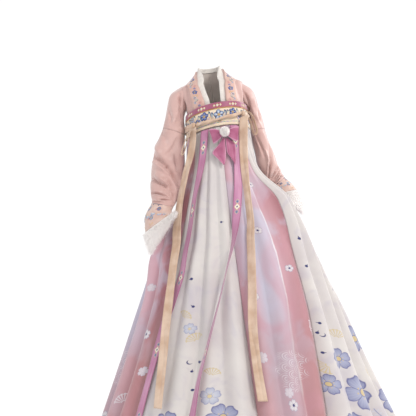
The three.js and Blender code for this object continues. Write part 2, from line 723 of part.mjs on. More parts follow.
// A strip that hangs over the skirt's ridges, partly turned on edge.
function hangingStrip({ width, clear, stations }) {
  const grid = steps(stations[0].z, stations[stations.length - 1].z, STRIP_ROWS).map((height) => {
    const station = rowAt(stations, "z", height);
    const turn = radians(station.turn);
    const out = clear + LINEN + (Math.sin(turn) * width) / 2;
    const middle = skirtSkin(station.at, height, out);
    const before = skirtSkin(station.at - 1, height, out);
    const sideways = skirtSkin(station.at + 1, height, out).sub(before).normalize();
    const outward = skirtSkin(station.at, height, out + 1).sub(middle).normalize();
    const across = sideways.multiplyScalar(Math.cos(turn)).addScaledVector(outward, Math.sin(turn));
    return ACROSS.map((share) => middle.clone().addScaledVector(across, share * width));
  });
  return wall(grid, LINEN);
}

// The twisted stretch of the sash across the front of the band.
function sashFront() {
  const { front, wide, thick } = SASH;
  const middleOut = wide / 2 + SASH.clear;
  const rings = steps(front[0].angle, front[front.length - 1].angle, SASH_ROWS).map((angle) => {
    const { below, twist } = rowAt(front, "angle", angle);
    const middle = bandPoint(radians(angle), below, middleOut);
    const outward = bandPoint(radians(angle), below, middleOut + 1).sub(middle);
    const down = bandPoint(radians(angle), below + 1, middleOut).sub(middle);
    return steps(0, 2 * Math.PI, SASH_ROUND).slice(0, -1).map((round) => {
      const a = (Math.cos(round) * wide) / 2;
      const b = (Math.sin(round) * thick) / 2;
      const turn = radians(twist);
      return middle
        .clone()
        .addScaledVector(down, a * Math.cos(turn) - b * Math.sin(turn))
        .addScaledVector(outward, a * Math.sin(turn) + b * Math.cos(turn));
    });
  });
  return filled(rings);
}

function sashBack() {
  const { back, flat } = SASH;
  const grid = ACROSS.map((share) =>
    steps(back[0].angle, back[back.length - 1].angle, SASH_BACK_ROWS).map((angle) => {
      const { below } = rowAt(back, "angle", angle);
      return bandPoint(radians(angle), below + share * flat, BAND_CLOTH + LAYER_GAP + SASH.clear);
    }),
  );
  return wall(grid, BAND_CLOTH);
}

// A knot: a rounded lump that sits on the band.
function knot({ angle, below }) {
  const radius = SASH.knot;
  const middleOut = radius + 2 * SASH.clear;
  const rings = steps(-1, 1, KNOT_ROWS).map((along) => {
    const bulge = radius * Math.sqrt(SASH.knotBlunt - along * along);
    return steps(0, 2 * Math.PI, KNOT_ROUND).slice(0, -1).map((round) => {
      const aside = (bulge * SASH.knotLow * Math.cos(round)) / BAND.depth;
      const out = middleOut + bulge * SASH.knotDeep * Math.sin(round);
      return bandPoint(radians(angle) + aside, below + along * radius, out);
    });
  });
  return filled(rings);
}

function vector({ x, y, z }) {
  return new THREE.Vector3(x, y, z);
}

function sashLoop({ width, facing, line }) {
  const curve = new THREE.CatmullRomCurve3(line.map(vector));
  const across = vector(facing).normalize();
  const grid = curve
    .getPoints(LOOP_ROWS)
    .map((p) => ACROSS.map((share) => p.clone().addScaledVector(across, share * width)));
  return wall(grid, LINEN);
}

// A point in front of the skirt at x and height, moved out.
function skirtFront(x, height, out) {
  const ring = rowAt(SKIRT_RINGS, "z", height);
  const degrees = THREE.MathUtils.radToDeg(Math.asin((x - ring.x) / (ring.left + out)));
  const first = skirtSkin(degrees, height, out);
  return skirtSkin(degrees, 2 * height - first.z, out);
}

function bowLoop({ x, z }) {
  const middle = skirtFront(BOW.x, BOW.z, BOW.clear);
  const outward = new THREE.Vector3(x, 0, z).normalize();
  const up = new THREE.Vector3(-outward.z, 0, outward.x).multiplyScalar(Math.sign(x));
  const grid = BOW.loopLine.map(({ out, front, tall }) =>
    ACROSS.map((share) =>
      middle
        .clone()
        .addScaledVector(outward, out)
        .addScaledVector(up, share * tall)
        .add(new THREE.Vector3(0, -front, 0)),
    ),
  );
  return wall(grid, LINEN);
}

function bowTail({ outline }) {
  const grid = outline.map(({ outerX, outerZ, innerX, innerZ }) =>
    [0, 0.5, 1].map((share) =>
      skirtFront(BOW.x + mix(outerX, innerX, share), BOW.z + mix(outerZ, innerZ, share), BOW.clear),
    ),
  );
  return wall(grid, LINEN * Math.sign(outline[0].innerX - outline[0].outerX));
}

function bowBall() {
  const geometry = new THREE.IcosahedronGeometry(BOW.ball, BALL_DETAIL);
  const middle = skirtFront(BOW.x, BOW.z, BOW.clear);
  geometry.translate(middle.x, middle.y - BOW.ballFront - BOW.ball, middle.z);
  return geometry;
}

// ---------------------------------------------------------------- the set

const set = new THREE.Group();

function add(name, geometry, color) {
  const material = new THREE.MeshStandardMaterial({ color, roughness: CLOTH_ROUGHNESS });
  const mesh = new THREE.Mesh(geometry, material);
  mesh.name = name;
  set.add(mesh);
}

for (const side of ["right", "left"]) {
  const { extension, border, fur, end } = SLEEVE_SEAMS;
  add(`jacket_body_${side}`, jacketBody(side), COLOURS.pink);
  add(`sleeve_${side}`, sleevePiece(side, extension, border, SLEEVE_ROWS, 0, PADDED), COLOURS.pink);
  add(`cuff_border_${side}`, sleevePiece(side, border, fur, CUFF_ROWS, 0, PADDED), COLOURS.cuff);
  add(`cuff_fur_${side}`, furPiece(side, fur, end), COLOURS.fur);
}
add("collar_band", collarBand(), COLOURS.cuff);
add("collar_liner", collarLiner(), COLOURS.liner);

let bandTop = 0;
for (const strip of BAND_STRIPS) {
  add(strip.name, bandStrip(strip, bandTop), COLOURS[strip.colour]);
  bandTop += strip.height;
}
for (let index = 0; index < PANELS; index += 1) {
  add(`skirt_panel_${index + 1}`, skirtPanel(index), index % 2 === 0 ? COLOURS.rose : COLOURS.ivory);
}

for (const [name, strip] of Object.entries(HANGING)) {
  add(name, hangingStrip(strip), name.startsWith("ribbon") ? COLOURS.ribbon : COLOURS.tan);
}
add("sash_front", sashFront(), COLOURS.tan);
add("sash_back", sashBack(), COLOURS.tan);
add("sash_knot_right", knot(SASH.knotRight), COLOURS.tan);
add("sash_knot_left", knot(SASH.knotLeft), COLOURS.tan);
for (const [name, loop] of Object.entries(LOOPS)) {
  add(name, sashLoop(loop), COLOURS.tan);
}
for (const loop of BOW.loops) {
  add(loop.name, bowLoop(loop), COLOURS.mauve);
}
for (const tail of BOW.tails) {
  add(tail.name, bowTail(tail), COLOURS.mauve);
}
add("bow_pompom", bowBall(), COLOURS.fur);

export default set;
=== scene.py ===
import math

import bpy
import numpy as np
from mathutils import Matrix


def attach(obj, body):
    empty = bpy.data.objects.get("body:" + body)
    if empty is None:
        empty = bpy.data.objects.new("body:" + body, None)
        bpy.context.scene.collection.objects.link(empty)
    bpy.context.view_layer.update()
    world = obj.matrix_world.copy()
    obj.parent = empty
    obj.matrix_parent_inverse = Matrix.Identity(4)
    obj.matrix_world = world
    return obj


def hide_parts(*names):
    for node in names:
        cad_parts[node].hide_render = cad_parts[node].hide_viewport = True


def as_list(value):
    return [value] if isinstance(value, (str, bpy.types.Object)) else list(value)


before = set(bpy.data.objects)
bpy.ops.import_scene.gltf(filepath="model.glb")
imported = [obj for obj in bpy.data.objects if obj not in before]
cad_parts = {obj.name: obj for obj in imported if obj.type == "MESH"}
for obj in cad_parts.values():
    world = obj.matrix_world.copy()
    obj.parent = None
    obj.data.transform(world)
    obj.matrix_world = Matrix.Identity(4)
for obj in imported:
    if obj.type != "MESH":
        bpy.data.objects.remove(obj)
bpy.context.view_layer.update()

MM = 0.001
TURN = 2 * math.pi
SIDES = ("right", "left")


def table(columns, rows):
    """A table with named columns; the first one is the key that the others follow."""
    return dict(zip(columns.split(), np.array(rows, float).T))


# ---------------------------------------------------------------- sizes that the cloth shares with the frame

SEAM_GAP = 0.1
PADDED = 4.0
LINEN = 1.2
BAND_CLOTH = 2.0
BODY_LEAN = math.radians(6.5)
HEM_LEVEL = -500.0

BODY_RINGS = table("level x y half front back", [
    (60, 0, 8, 49, 42, 52),
    (42, 0, 8, 57, 50, 60),
    (14, 0, 5, 86, 62, 72),
    (-8, 0, 2, 122, 76, 84),
    (-40, 2, 0, 124, 90, 94),
    (-85, 6, 0, 115, 102, 99),
    (-140, 8, 0, 110, 102, 97),
    (-220, 6, 0, 106, 96, 92),
    (-320, 4, 0, 106, 92, 94),
    (-420, 0, 4, 122, 98, 108),
    (HEM_LEVEL, 0, 6, 136, 106, 118),
])

# From the hem up the front edge and round the neck to the centre back: the jacket's own edge, the collar
# band's outer edge and the inner edge of the liner, each as a level and an angle from the front.
COLLAR = table("place level angle out_level out_angle in_level in_angle", [
    (0, HEM_LEVEL, 15, HEM_LEVEL, 36, HEM_LEVEL, 8),
    (1, -320, 20, -320, 50, -320, 11),
    (2, -140, 21, -140, 49, -140, 11),
    (3, -85, 21, -85, 47, -85, 11),
    (4, -40, 22, -40, 44, -38, 13),
    (5, -5, 26, -14, 46, 2, 16),
    (6, 20, 41, 2, 56, 29, 26),
    (7, 42, 66, 10, 75, 54, 52),
    (8, 55, 86, 13, 92, 68, 77),
    (9, 60, 112, 14, 115, 72, 110),
    (10, 60, 146, 15, 147, 72, 146),
    (11, 60, 180, 16, 180, 72, 180),
])
COLLAR_BACK = 9
COLLAR_CLEAR = 1.6
COLLAR_CLOTH = 2.0
LINER_CLEAR = 1.2
LINER_PILE = 3.0

SLEEVE_COLUMNS = "place x y z half depth lean yaw"
SLEEVE_RINGS = {
    "right": table(SLEEVE_COLUMNS, [
        (0, -88, 6, -42, 42, 46, -52, 0),
        (1, -124, 6, -66, 41, 50, -34, 0),
        (2, -139, 6, -118, 35, 50, -14, 0),
        (3, -148, 8, -186, 41, 50, -17, 0),
        (4, -163, 8, -262, 54, 52, -12, 0),
        (5, -170, 2, -330, 59, 52, -9, 0),
        (6, -175, -20, -395, 57, 50, -4, 0),
        (7, -182, -52, -444, 46, 44, -10, 0),
        (8, -187, -76, -474, 37, 38, -12, 0),
        (9, -198, -98, -510, 49, 36, 10, 0),
        (10, -194, -118, -543, 62, 34, 36, 0),
        (11, -178, -140, -584, 82, 34, 57, 0),
    ]),
    "left": table(SLEEVE_COLUMNS, [
        (0, 90, 6, -24, 42, 46, 52, 0),
        (1, 132, 18, -46, 36, 50, 36, 0),
        (2, 167, 42, -100, 24, 54, 14, 0),
        (3, 183, 42, -178, 29, 54, 14, 0),
        (4, 203, 48, -250, 34, 54, 18, 0),
        (5, 222, 54, -312, 40, 52, 24, 0),
        (6, 239, 56, -350, 40, 46, 34, 0),
        (7, 254, 57, -368, 36, 40, 42, 0),
        (8, 264, 58, -380, 33, 38, 42, 0),
        (9, 278, 59, -396, 37, 40, 34, 8),
        (10, 292, 60, -418, 47, 40, 14, 24),
        (11, 314, 64, -460, 78, 36, -34, 44),
    ]),
}
SHOULDER, EXTENSION, BORDER, FUR, SLEEVE_END = 0, 3, 8, 10, 11
SLEEVE_GAP = 0.003

BAND_X, BAND_Z, BAND_HALF, BAND_DEPTH = 20.0, -112.0, 119.0, 115.0
BAND_RISE, BAND_DRIFT, BAND_FLARE = 0.185, 0.08, 0.04
BAND_HEIGHT = 90.0
WAIST = BAND_Z - BAND_HEIGHT

SKIRT_RINGS = table("z x y right left front back rise fold", [
    (WAIST, 28, 0, 124, 124, 117, 117, 1, 3),
    (-300, 38, 8, 138, 135, 133, 118, 0.8, 6),
    (-370, 46, 18, 160, 149, 154, 118, 0.62, 9),
    (-474, 57, 18, 198, 192, 173, 136, 0.4, 13),
    (-600, 71, 6, 244, 262, 188, 178, 0.25, 18),
    (-700, 82, 0, 302, 322, 210, 214, 0.15, 22),
    (-840, 97, 0, 370, 392, 254, 258, 0.08, 27),
    (-1060, 122, 0, 467, 474, 326, 332, 0.02, 32),
    (-1345, 152, 0, 592, 590, 427, 442, 0, 40),
])
HEM = -1345.0
PANELS = 8
SEAMS = table("z s0 s1 s2 s3 s4 s5 s6 s7 s8", [
    (WAIST, -180, -137, -92, -47, 3, 44, 90, 137, 180),
    (-474, -180, -137, -98, -50, 2, 58, 94, 137, 180),
    (-740, -180, -137, -94, -47, 2, 47, 90, 137, 180),
    (-1040, -180, -137, -93, -48, 2, 36.5, 86, 137, 180),
    (HEM, -180, -137, -92, -53, 2.5, 28, 84, 137, 180),
])
TWELFTHS = 12
VALLEYS = table("panel twelfth deep", [
    (0, 0, 1), (0, 4, 0.8), (0, 8, 1),
    (1, 0, 0.7), (1, 5, 1), (1, 8, 0.6),
    (2, 0, 0.9), (2, 4, 0.8), (2, 8, 0.9),
    (3, 0, 0.8), (3, 3, 0.5), (3, 6, 0.8), (3, 9, 0.6),
    (4, 0, 1), (4, 4, 0.6), (4, 8, 0.7),
    (5, 0, 1), (5, 3, 0.7), (5, 6, 0.9), (5, 9, 0.8),
    (6, 0, 0.9), (6, 4, 0.7), (6, 8, 1),
    (7, 0, 0.8), (7, 3, 1), (7, 8, 0.8),
    (8, 0, 1),
])
HOLDS = table("at z out forward above below spread", [
    (-70, -600, -50, 20, 70, 150, 16),
    (68, -474, 70, 26, 80, 250, 15),
])

# Strips that hang over the skirt: height, angle round the skirt and how far the strip is turned on edge.
HANGING = {
    "ribbon_right": (32, 3, table("z at turn", [
        (-206, -24, 0), (-333, -31, 4), (-460, -36, 26), (-620, -37.5, 26), (-720, -36, 20),
        (-820, -39, 8), (-940, -43, 0), (-1100, -45, 12), (-1310, -47, 0)])),
    "ribbon_left": (32, 3, table("z at turn", [
        (-206, 26, 0), (-334, 23, 5), (-405, 18, 0), (-475, 11.6, 10), (-546, 6, 34), (-617, 1.5, 66),
        (-716, -5, 78), (-825, -10, 74), (-960, -15.7, 62), (-1094, -20, 50), (-1211, -22, 30),
        (-1300, -23.5, 16)])),
    "sash_tail_right": (36, 20, table("z at turn", [
        (-192, -40, 10), (-280, -45, -6), (-350, -52, -8), (-450, -54, -4), (-530, -50.6, 0),
        (-620, -45.6, 0), (-720, -42, 4), (-830, -40, 0), (-1000, -38, 0), (-1192, -36, 6)])),
    "sash_tail_left": (34, 9, table("z at turn", [
        (-178, 41, 62), (-263, 34, 56), (-335, 29, 56), (-463, 21, 70), (-549, 17.4, 58),
        (-619, 13.5, 48), (-760, 8.7, 36), (-960, 4.7, 28), (-1060, 4.3, 28), (-1160, 4.6, 8)])),
}

KNOTS = {"right": (-42, 66), "left": (46, 51)}
SASH_FRONT = table("angle below twist", [
    (-37, 67, 0), (-20, 70, 120), (0, 68, 240), (22, 61, 350), (41, 52, 450)])
SASH_BACK = table("angle below", [(51, 50), (110, 48), (180, 48), (250, 47), (313, 63)])
SASH_WIDE, SASH_THICK, SASH_FLAT, SASH_CLEAR = 20.0, 9.0, 24.0, 1.0
KNOT_RADIUS = 11.0
LOOPS = {
    "sash_loop_right": (15, (0.3, -0.92, 0.25), [
        (-80, -100, -194), (-94, -102, -222), (-108, -92, -262), (-112, -84, -284),
        (-104, -84, -284), (-94, -94, -256), (-84, -108, -222), (-77, -112, -200)]),
    "sash_loop_left": (15, (0.42, -0.9, -0.1), [
        (132, -84, -122), (146, -84, -126), (160, -80, -152), (172, -70, -190),
        (166, -70, -206), (158, -74, -186), (148, -84, -156), (138, -84, -138)]),
}

BOW_X, BOW_Z, BOW_CLEAR, BALL, BALL_FRONT = 47.0, -207.0, 9.0, 19.0, 18.0
BOW_FULL = 1.06
BOW_LOOPS = {"bow_loop_right": (-0.955, -0.296), "bow_loop_left": (0.98, -0.1)}
BOW_LINE = table("place out front tall", [
    (0, 9, 13, 15), (1, 22, 17, 34), (2, 38, 14, 50), (3, 48, 8, 54), (4, 39, 2.5, 50), (5, 22, 2, 34),
    (6, 9, 4, 15)])
BOW_TAILS = {
    "bow_tail_right": table("place outer_x outer_z inner_x inner_z", [
        (0, -6, -20, 1, -20), (1, -22, -46, 3, -44), (2, -43, -76, 6, -72), (3, -24, -98, 5, -95),
        (4, -4, -121, 1, -120)]),
    "bow_tail_left": table("place outer_x outer_z inner_x inner_z", [
        (0, 12, -20, 4, -20), (1, 41, -46, 5.5, -44), (2, 43, -76, 9, -72), (3, 41, -98, 22, -93),
        (4, 39, -116, 35, -114)]),
}

# ---------------------------------------------------------------- curves and surfaces


def column(rows, name, place):
    """Smooth value of one column at places along the key column, with no overshoot between rows."""
    keys, values = next(iter(rows.values())), rows[name]
    if keys[0] > keys[-1]:
        keys, place = -keys, -np.asarray(place, float)
    place = np.clip(place, keys[0], keys[-1])
    i = np.clip(np.searchsorted(keys, place, side="right") - 1, 0, len(keys) - 2)
    span = np.diff(keys)
    slope = np.diff(values) / span
    agree = slope[:-1] * slope[1:] > 0
    total = np.where(agree, slope[:-1] + slope[1:], 1)
    tangent = np.concatenate([
        slope[:1], np.where(agree, 2 * slope[:-1] * slope[1:] / total, 0), slope[-1:]])
    t = (place - keys[i]) / span[i]
    t2, t3 = t * t, t * t * t
    return ((2 * t3 - 3 * t2 + 1) * values[i] + (t3 - 2 * t2 + t) * span[i] * tangent[i]
            + (3 * t2 - 2 * t3) * values[i + 1] + (t3 - t2) * span[i] * tangent[i + 1])


def stack(x, y, z):
    return np.stack(np.broadcast_arrays(x, y, z), axis=-1).astype(float)


def grid(rows, columns):
    """Two arrays that hold every pair of a row value and a column value."""
    return np.meshgrid(rows, columns, indexing="ij")


def troughs(lines, u, v):
    """Soft troughs (deep under 0) and ridges along short lines u0, v0 to u1, v1, steeper on one side."""
    total = np.zeros(np.broadcast(u, v).shape)
    for u0, v0, u1, v1, deep, wide in lines:
        du, dv = u1 - u0, v1 - v0
        length = math.hypot(du, dv)
        along = np.clip(((u - u0) * du + (v - v0) * dv) / length ** 2, 0, 1)
        bowed = 0.06 * length * np.sin(math.pi * along)
        aside = ((u - u0) * dv - (v - v0) * du) / length - bowed
        past = np.hypot(u - u0 - along * du, v - v0 - along * dv)
        past = np.sqrt(np.maximum(past ** 2 - (aside + bowed) ** 2, 0))
        reach = wide * np.where(aside > 0, 1.35, 0.75)
        total += deep * np.exp(-(aside / reach) ** 2 - (past / wide) ** 2) * (0.35 + 0.65 * np.sin(
            math.pi * np.clip(along, 0.08, 0.92)))
    return total


def body_point(angle, level, out=0):
    """A point of the jacket's outer face at an angle from the front and a level."""
    x = column(BODY_RINGS, "x", level) + (column(BODY_RINGS, "half", level) + out) * np.sin(angle)
    depth = np.where(np.cos(angle) > 0, column(BODY_RINGS, "front", level), column(BODY_RINGS, "back", level))
    y = column(BODY_RINGS, "y", level) - (depth + out) * np.cos(angle)
    return stack(x * math.cos(BODY_LEAN) - level * math.sin(BODY_LEAN), y,
                 x * math.sin(BODY_LEAN) + level * math.cos(BODY_LEAN))


def sleeve_point(side, place, angle, out=0):
    """A point of a sleeve's outer face: place along its rings, and angle round from its long axis."""
    ring = {name: column(SLEEVE_RINGS[side], name, place) for name in SLEEVE_COLUMNS.split()[1:]}
    lean, yaw = np.radians(ring["lean"]), np.radians(ring["yaw"])
    long = (ring["half"] + out) * np.cos(angle)
    short = (ring["depth"] + out) * np.sin(angle)
    return stack(
        ring["x"] + long * np.cos(lean) * np.cos(yaw) - short * np.cos(lean) * np.sin(yaw),
        ring["y"] + long * np.sin(yaw) + short * np.cos(yaw),
        ring["z"] + long * np.sin(lean) * np.cos(yaw) - short * np.sin(lean) * np.sin(yaw))


def band_point(angle, below, out=0):
    """A point of the band's outer face: angle round from the front, distance below the top edge."""
    x = (BAND_HALF + BAND_FLARE * below + out) * np.sin(angle)
    y = -(BAND_DEPTH + BAND_FLARE * below + out) * np.cos(angle)
    return stack(BAND_X + BAND_DRIFT * below + x, y, BAND_Z + BAND_RISE * (x - y) - below)


def skirt_skin(degrees, height, out=0):
    """The skin over the skirt's ridges."""
    ring = {name: column(SKIRT_RINGS, name, height) for name in SKIRT_RINGS if name != "z"}
    angle = np.radians(degrees)
    x = (np.where(np.asarray(degrees) < 0, ring["right"], ring["left"]) + out) * np.sin(angle)
    y = -(np.where(np.abs(degrees) < 90, ring["front"], ring["back"]) + out) * np.cos(angle)
    for at, z, pulled, forward, above, below, spread in zip(*HOLDS.values()):
        reach = np.where(np.asarray(height) > z, above, below)
        pull = np.exp(-(((height - z) / reach) ** 2) - (((degrees - at) / spread) ** 2))
        x = x + pulled * pull
        y = y - forward * pull
    return stack(ring["x"] + x, ring["y"] + y, height + BAND_RISE * ring["rise"] * (x - y))


VALLEY_PLACES = VALLEYS["panel"] + VALLEYS["twelfth"] / TWELFTHS


def fold_share(across):
    """How far the main folds go in: 0 on a ridge, the valley's depth in a valley."""
    i = np.clip(np.searchsorted(VALLEY_PLACES, across, side="right") - 1, 0, len(VALLEY_PLACES) - 2)
    share = np.clip((across - VALLEY_PLACES[i]) / (VALLEY_PLACES[i + 1] - VALLEY_PLACES[i]), 0, 1)
    arch = np.sin(math.pi * share) ** 1.25
    return (VALLEYS["deep"][i] * (1 - share) + VALLEYS["deep"][i + 1] * share) * (1 - arch)


def seam_angle(across, height):
    panel = np.minimum(np.floor(across), PANELS - 1).astype(int)
    seams = np.stack([column(SEAMS, f"s{k}", height) * np.ones(np.shape(across)) for k in range(PANELS + 1)])
    first = np.take_along_axis(seams, panel[None], 0)[0]
    last = np.take_along_axis(seams, panel[None] + 1, 0)[0]
    return first + (last - first) * (across - panel)


def panel_width(height):
    """Mean width of a panel at a height, in millimetres."""
    mean = (column(SKIRT_RINGS, "right", height) + column(SKIRT_RINGS, "front", height)) / 2
    return mean * TURN / PANELS


# Fine pleats below the band: place across the panels at the top and at the bottom, the heights between which
# they run, how deep they are and how wide.
PLEATS = table("top foot high low deep wide", [
    (0.18, 0.14, -200, -820, 4, 9), (0.52, 0.5, -200, -900, 4, 10), (0.86, 0.88, -200, -700, 3, 8),
    (1.16, 1.14, -200, -760, 4, 9), (1.33, 1.3, -200, -980, 5, 10), (1.6, 1.56, -200, -700, 3, 8),
    (1.86, 1.88, -200, -1050, 5, 12), (2.14, 2.1, -200, -820, 4, 9), (2.3, 2.22, -205, -1120, 5, 12),
    (2.5, 2.46, -200, -700, 4, 8), (2.62, 2.6, -200, -1000, 5, 10), (2.82, 2.86, -200, -900, 4, 9),
    (3.08, 3.1, -200, -620, 4, 7), (3.17, 3.18, -200, -980, 5, 9), (3.3, 3.33, -200, -760, 4.5, 8),
    (3.43, 3.42, -200, -1120, 5.5, 10), (3.56, 3.6, -200, -700, 4.5, 8), (3.69, 3.68, -200, -1020, 5.5, 9),
    (3.82, 3.86, -200, -820, 4.5, 8), (3.93, 3.95, -200, -640, 5, 7), (4.12, 4.1, -200, -860, 4.5, 9),
    (4.28, 4.24, -200, -640, 4, 8), (4.42, 4.4, -200, -980, 5, 9), (4.6, 4.55, -200, -720, 4, 8),
    (4.78, 4.72, -220, -1120, 6, 11), (4.9, 4.9, -200, -760, 4, 8), (5.1, 5.12, -200, -820, 5, 9),
    (5.26, 5.2, -250, -1050, 6, 11), (5.44, 5.4, -260, -760, 5, 9), (5.62, 5.64, -240, -1100, 6, 12),
    (5.84, 5.86, -200, -900, 5, 9), (6.2, 6.16, -200, -760, 4, 9), (6.48, 6.5, -200, -1020, 5, 11),
    (6.8, 6.84, -200, -760, 4, 9), (7.14, 7.12, -200, -880, 4, 9), (7.42, 7.4, -200, -1040, 5, 11),
    (7.66, 7.7, -200, -720, 4, 8), (7.88, 7.9, -200, -900, 4, 9),
])
GATHERS = 11  # small gathers in each panel, just below the band
GATHER_DEEP = 1.5
GATHER_REACH = 70.0


def pleat_depth(across, height):
    width = panel_width(height)
    total = np.zeros(np.broadcast(across, height).shape)
    for top, foot, high, low, deep, wide in zip(*PLEATS.values()):
        share = np.clip((high - height) / (high - low), 0, 1)
        at = top + (foot - top) * share + 0.012 * np.sin(7 * share + 9 * top)
        aside = (across - at) * width
        reach = wide * (1 + 1.6 * share) * np.where(aside > 0, 1.3, 0.7)
        fade = np.sin(math.pi * np.clip(0.12 + 0.88 * share, 0, 1)) ** 0.7 * (1 - share ** 4)
        total += deep * fade * np.exp(-(aside / reach) ** 2)
    near = np.exp(-((WAIST - height) / GATHER_REACH) ** 2)
    gathers = np.abs(np.sin(math.pi * GATHERS * across + 1.3 * np.sin(5 * across)))
    return total + GATHER_DEEP * near * (1 - gathers)


def skirt_point(across, height, out=0):
    """A point of the skirt's cloth, with its folds and pleats."""
    depth = column(SKIRT_RINGS, "fold", height) * fold_share(across) + pleat_depth(across, height)
    return skirt_skin(seam_angle(across, height), height, out - depth)


def unit(vectors):
    return vectors / np.maximum(np.linalg.norm(vectors, axis=-1, keepdims=True), 1e-9)


def normals(points, looped=False):
    """Unit normals of a grid of points, towards the side that sees rows run down and columns right."""
    if looped:
        across = np.roll(points, -1, 1) - np.roll(points, 1, 1)
    else:
        across = np.gradient(points, axis=1)
    return unit(np.cross(np.gradient(points, axis=0), across))


# ---------------------------------------------------------------- meshes


def mesh_object(name, points, faces, materials, smooth=None, uv=None, slots=None):
    """An object from points in millimetres. uv holds a place in metres for each corner of each face."""
    mesh = bpy.data.meshes.new(name)
    mesh.from_pydata((np.asarray(points) * MM).tolist(), [], [list(f) for f in faces])
    for material in materials:
        mesh.materials.append(material)
    flags = np.ones(len(faces), bool) if smooth is None else np.asarray(smooth, bool)
    mesh.polygons.foreach_set("use_smooth", flags)
    if slots is not None:
        mesh.polygons.foreach_set("material_index", np.asarray(slots, np.int32))
    if uv is not None:
        layer = mesh.uv_layers.new(name="cloth")
        layer.data.foreach_set("uv", np.asarray(uv, np.float32).ravel())
    mesh.validate()
    piece = bpy.data.objects.new(name, mesh)
    bpy.context.scene.collection.objects.link(piece)
    return piece


def shell_data(outer, inner, looped=False, uv=None):
    """Points, faces, smooth flags and uv of the closed shell between two grids of points."""
    rows, columns = outer.shape[:2]
    points = np.concatenate([outer.reshape(-1, 3), inner.reshape(-1, 3)])
    behind = rows * columns
    spans = columns if looped else columns - 1
    if uv is None:
        uv = stack(*grid(np.arange(rows), np.arange(columns + 1)), 0)[..., :2]
    i, j = (a.ravel() for a in grid(np.arange(rows - 1), np.arange(spans)))

    def corners(ii, jj, back):
        return ii * columns + jj % columns + back * behind, uv[ii, jj]

    def quads(*cells):
        made = [corners(*cell) for cell in cells]
        return np.stack([c[0] for c in made], -1), np.stack([c[1] for c in made], 1)

    k = np.arange(spans)
    top, foot = np.zeros(spans, int), np.full(spans, rows - 1)
    parts = [
        quads((i, j, 0), (i + 1, j, 0), (i + 1, j + 1, 0), (i, j + 1, 0)),
        quads((i, j, 1), (i, j + 1, 1), (i + 1, j + 1, 1), (i + 1, j, 1)),
        quads((top, k, 0), (top, k + 1, 0), (top, k + 1, 1), (top, k, 1)),
        quads((foot, k, 0), (foot, k, 1), (foot, k + 1, 1), (foot, k + 1, 0)),
    ]
    if not looped:
        r = np.arange(rows - 1)
        near, far = np.zeros(rows - 1, int), np.full(rows - 1, columns - 1)
        parts.append(quads((r, near, 0), (r, near, 1), (r + 1, near, 1), (r + 1, near, 0)))
        parts.append(quads((r, far, 0), (r + 1, far, 0), (r + 1, far, 1), (r, far, 1)))
    faces = np.concatenate([p[0] for p in parts])
    corner_uv = np.concatenate([p[1] for p in parts])
    smooth = np.arange(len(faces)) < len(parts[0][0]) + len(parts[1][0])
    a, b, c, d = (points[faces[:, n]] for n in range(4))
    volume = np.einsum("ij,ij->", a, np.cross(b, c)) + np.einsum("ij,ij->", a, np.cross(c, d))
    if volume < 0:
        faces, corner_uv = faces[:, ::-1], corner_uv[:, ::-1]
    return points, faces, smooth, corner_uv


def shell(name, outer, inner, material, looped=False, uv=None, lining=None):
    """A cloth wall between two grids, with its own cloth on the inner face if it is lined."""
    points, faces, smooth, corner_uv = shell_data(outer, inner, looped, uv)
    if not lining:
        return mesh_object(name, points, faces, [material], smooth, corner_uv)
    cells = (outer.shape[0] - 1) * (outer.shape[1] - (0 if looped else 1))
    at = np.arange(len(faces))
    slots = (at >= cells) & (at < 2 * cells)
    return mesh_object(name, points, faces, [material, lining], smooth, corner_uv, slots)


def joined(name, parts, materials):
    """One object from several sets of shell data, each with its material's number."""
    points, faces, smooth, uv, slots = [], [], [], [], []
    start = 0
    for slot, (p, f, s, w) in parts:
        points.append(p)
        faces.extend((f + start).tolist())
        smooth.append(s)
        uv.append(w.reshape(-1, 2))
        slots.append(np.full(len(f), slot))
        start += len(p)
    return mesh_object(name, np.concatenate(points), faces, materials, np.concatenate(smooth),
                       np.concatenate(uv), np.concatenate(slots))


def lid(points_grid):
    """A closed solid through closed rings, with a middle point at each end."""
    rows, columns = points_grid.shape[:2]
    points = np.concatenate([points_grid.reshape(-1, 3), points_grid[:1].mean(1), points_grid[-1:].mean(1)])
    faces = []
    for j in range(columns):
        after = (j + 1) % columns
        for i in range(rows - 1):
            here = i * columns
            faces.append((here + j, here + columns + j, here + columns + after, here + after))
        end = (rows - 1) * columns
        faces.append((rows * columns, j, after))
        faces.append((rows * columns + 1, end + after, end + j))
    first = [points[[f[n] for f in faces]] for n in range(3)]
    if np.einsum("ij,ij->", first[0], np.cross(first[1], first[2])) < 0:
        faces = [f[::-1] for f in faces]
    return points, faces


# ---------------------------------------------------------------- materials


DYE = 0.78  # share of a colour's brightness as seen in the light that the cloth itself sends back


def srgb(red, green, blue):
    """A cloth's linear colour from the usual 0 to 255 values as it looks in the light."""
    parts = [c / 255 for c in (red, green, blue)]
    return [DYE * (c / 12.92 if c <= 0.04045 else ((c + 0.055) / 1.055) ** 2.4) for c in parts] + [1.0]


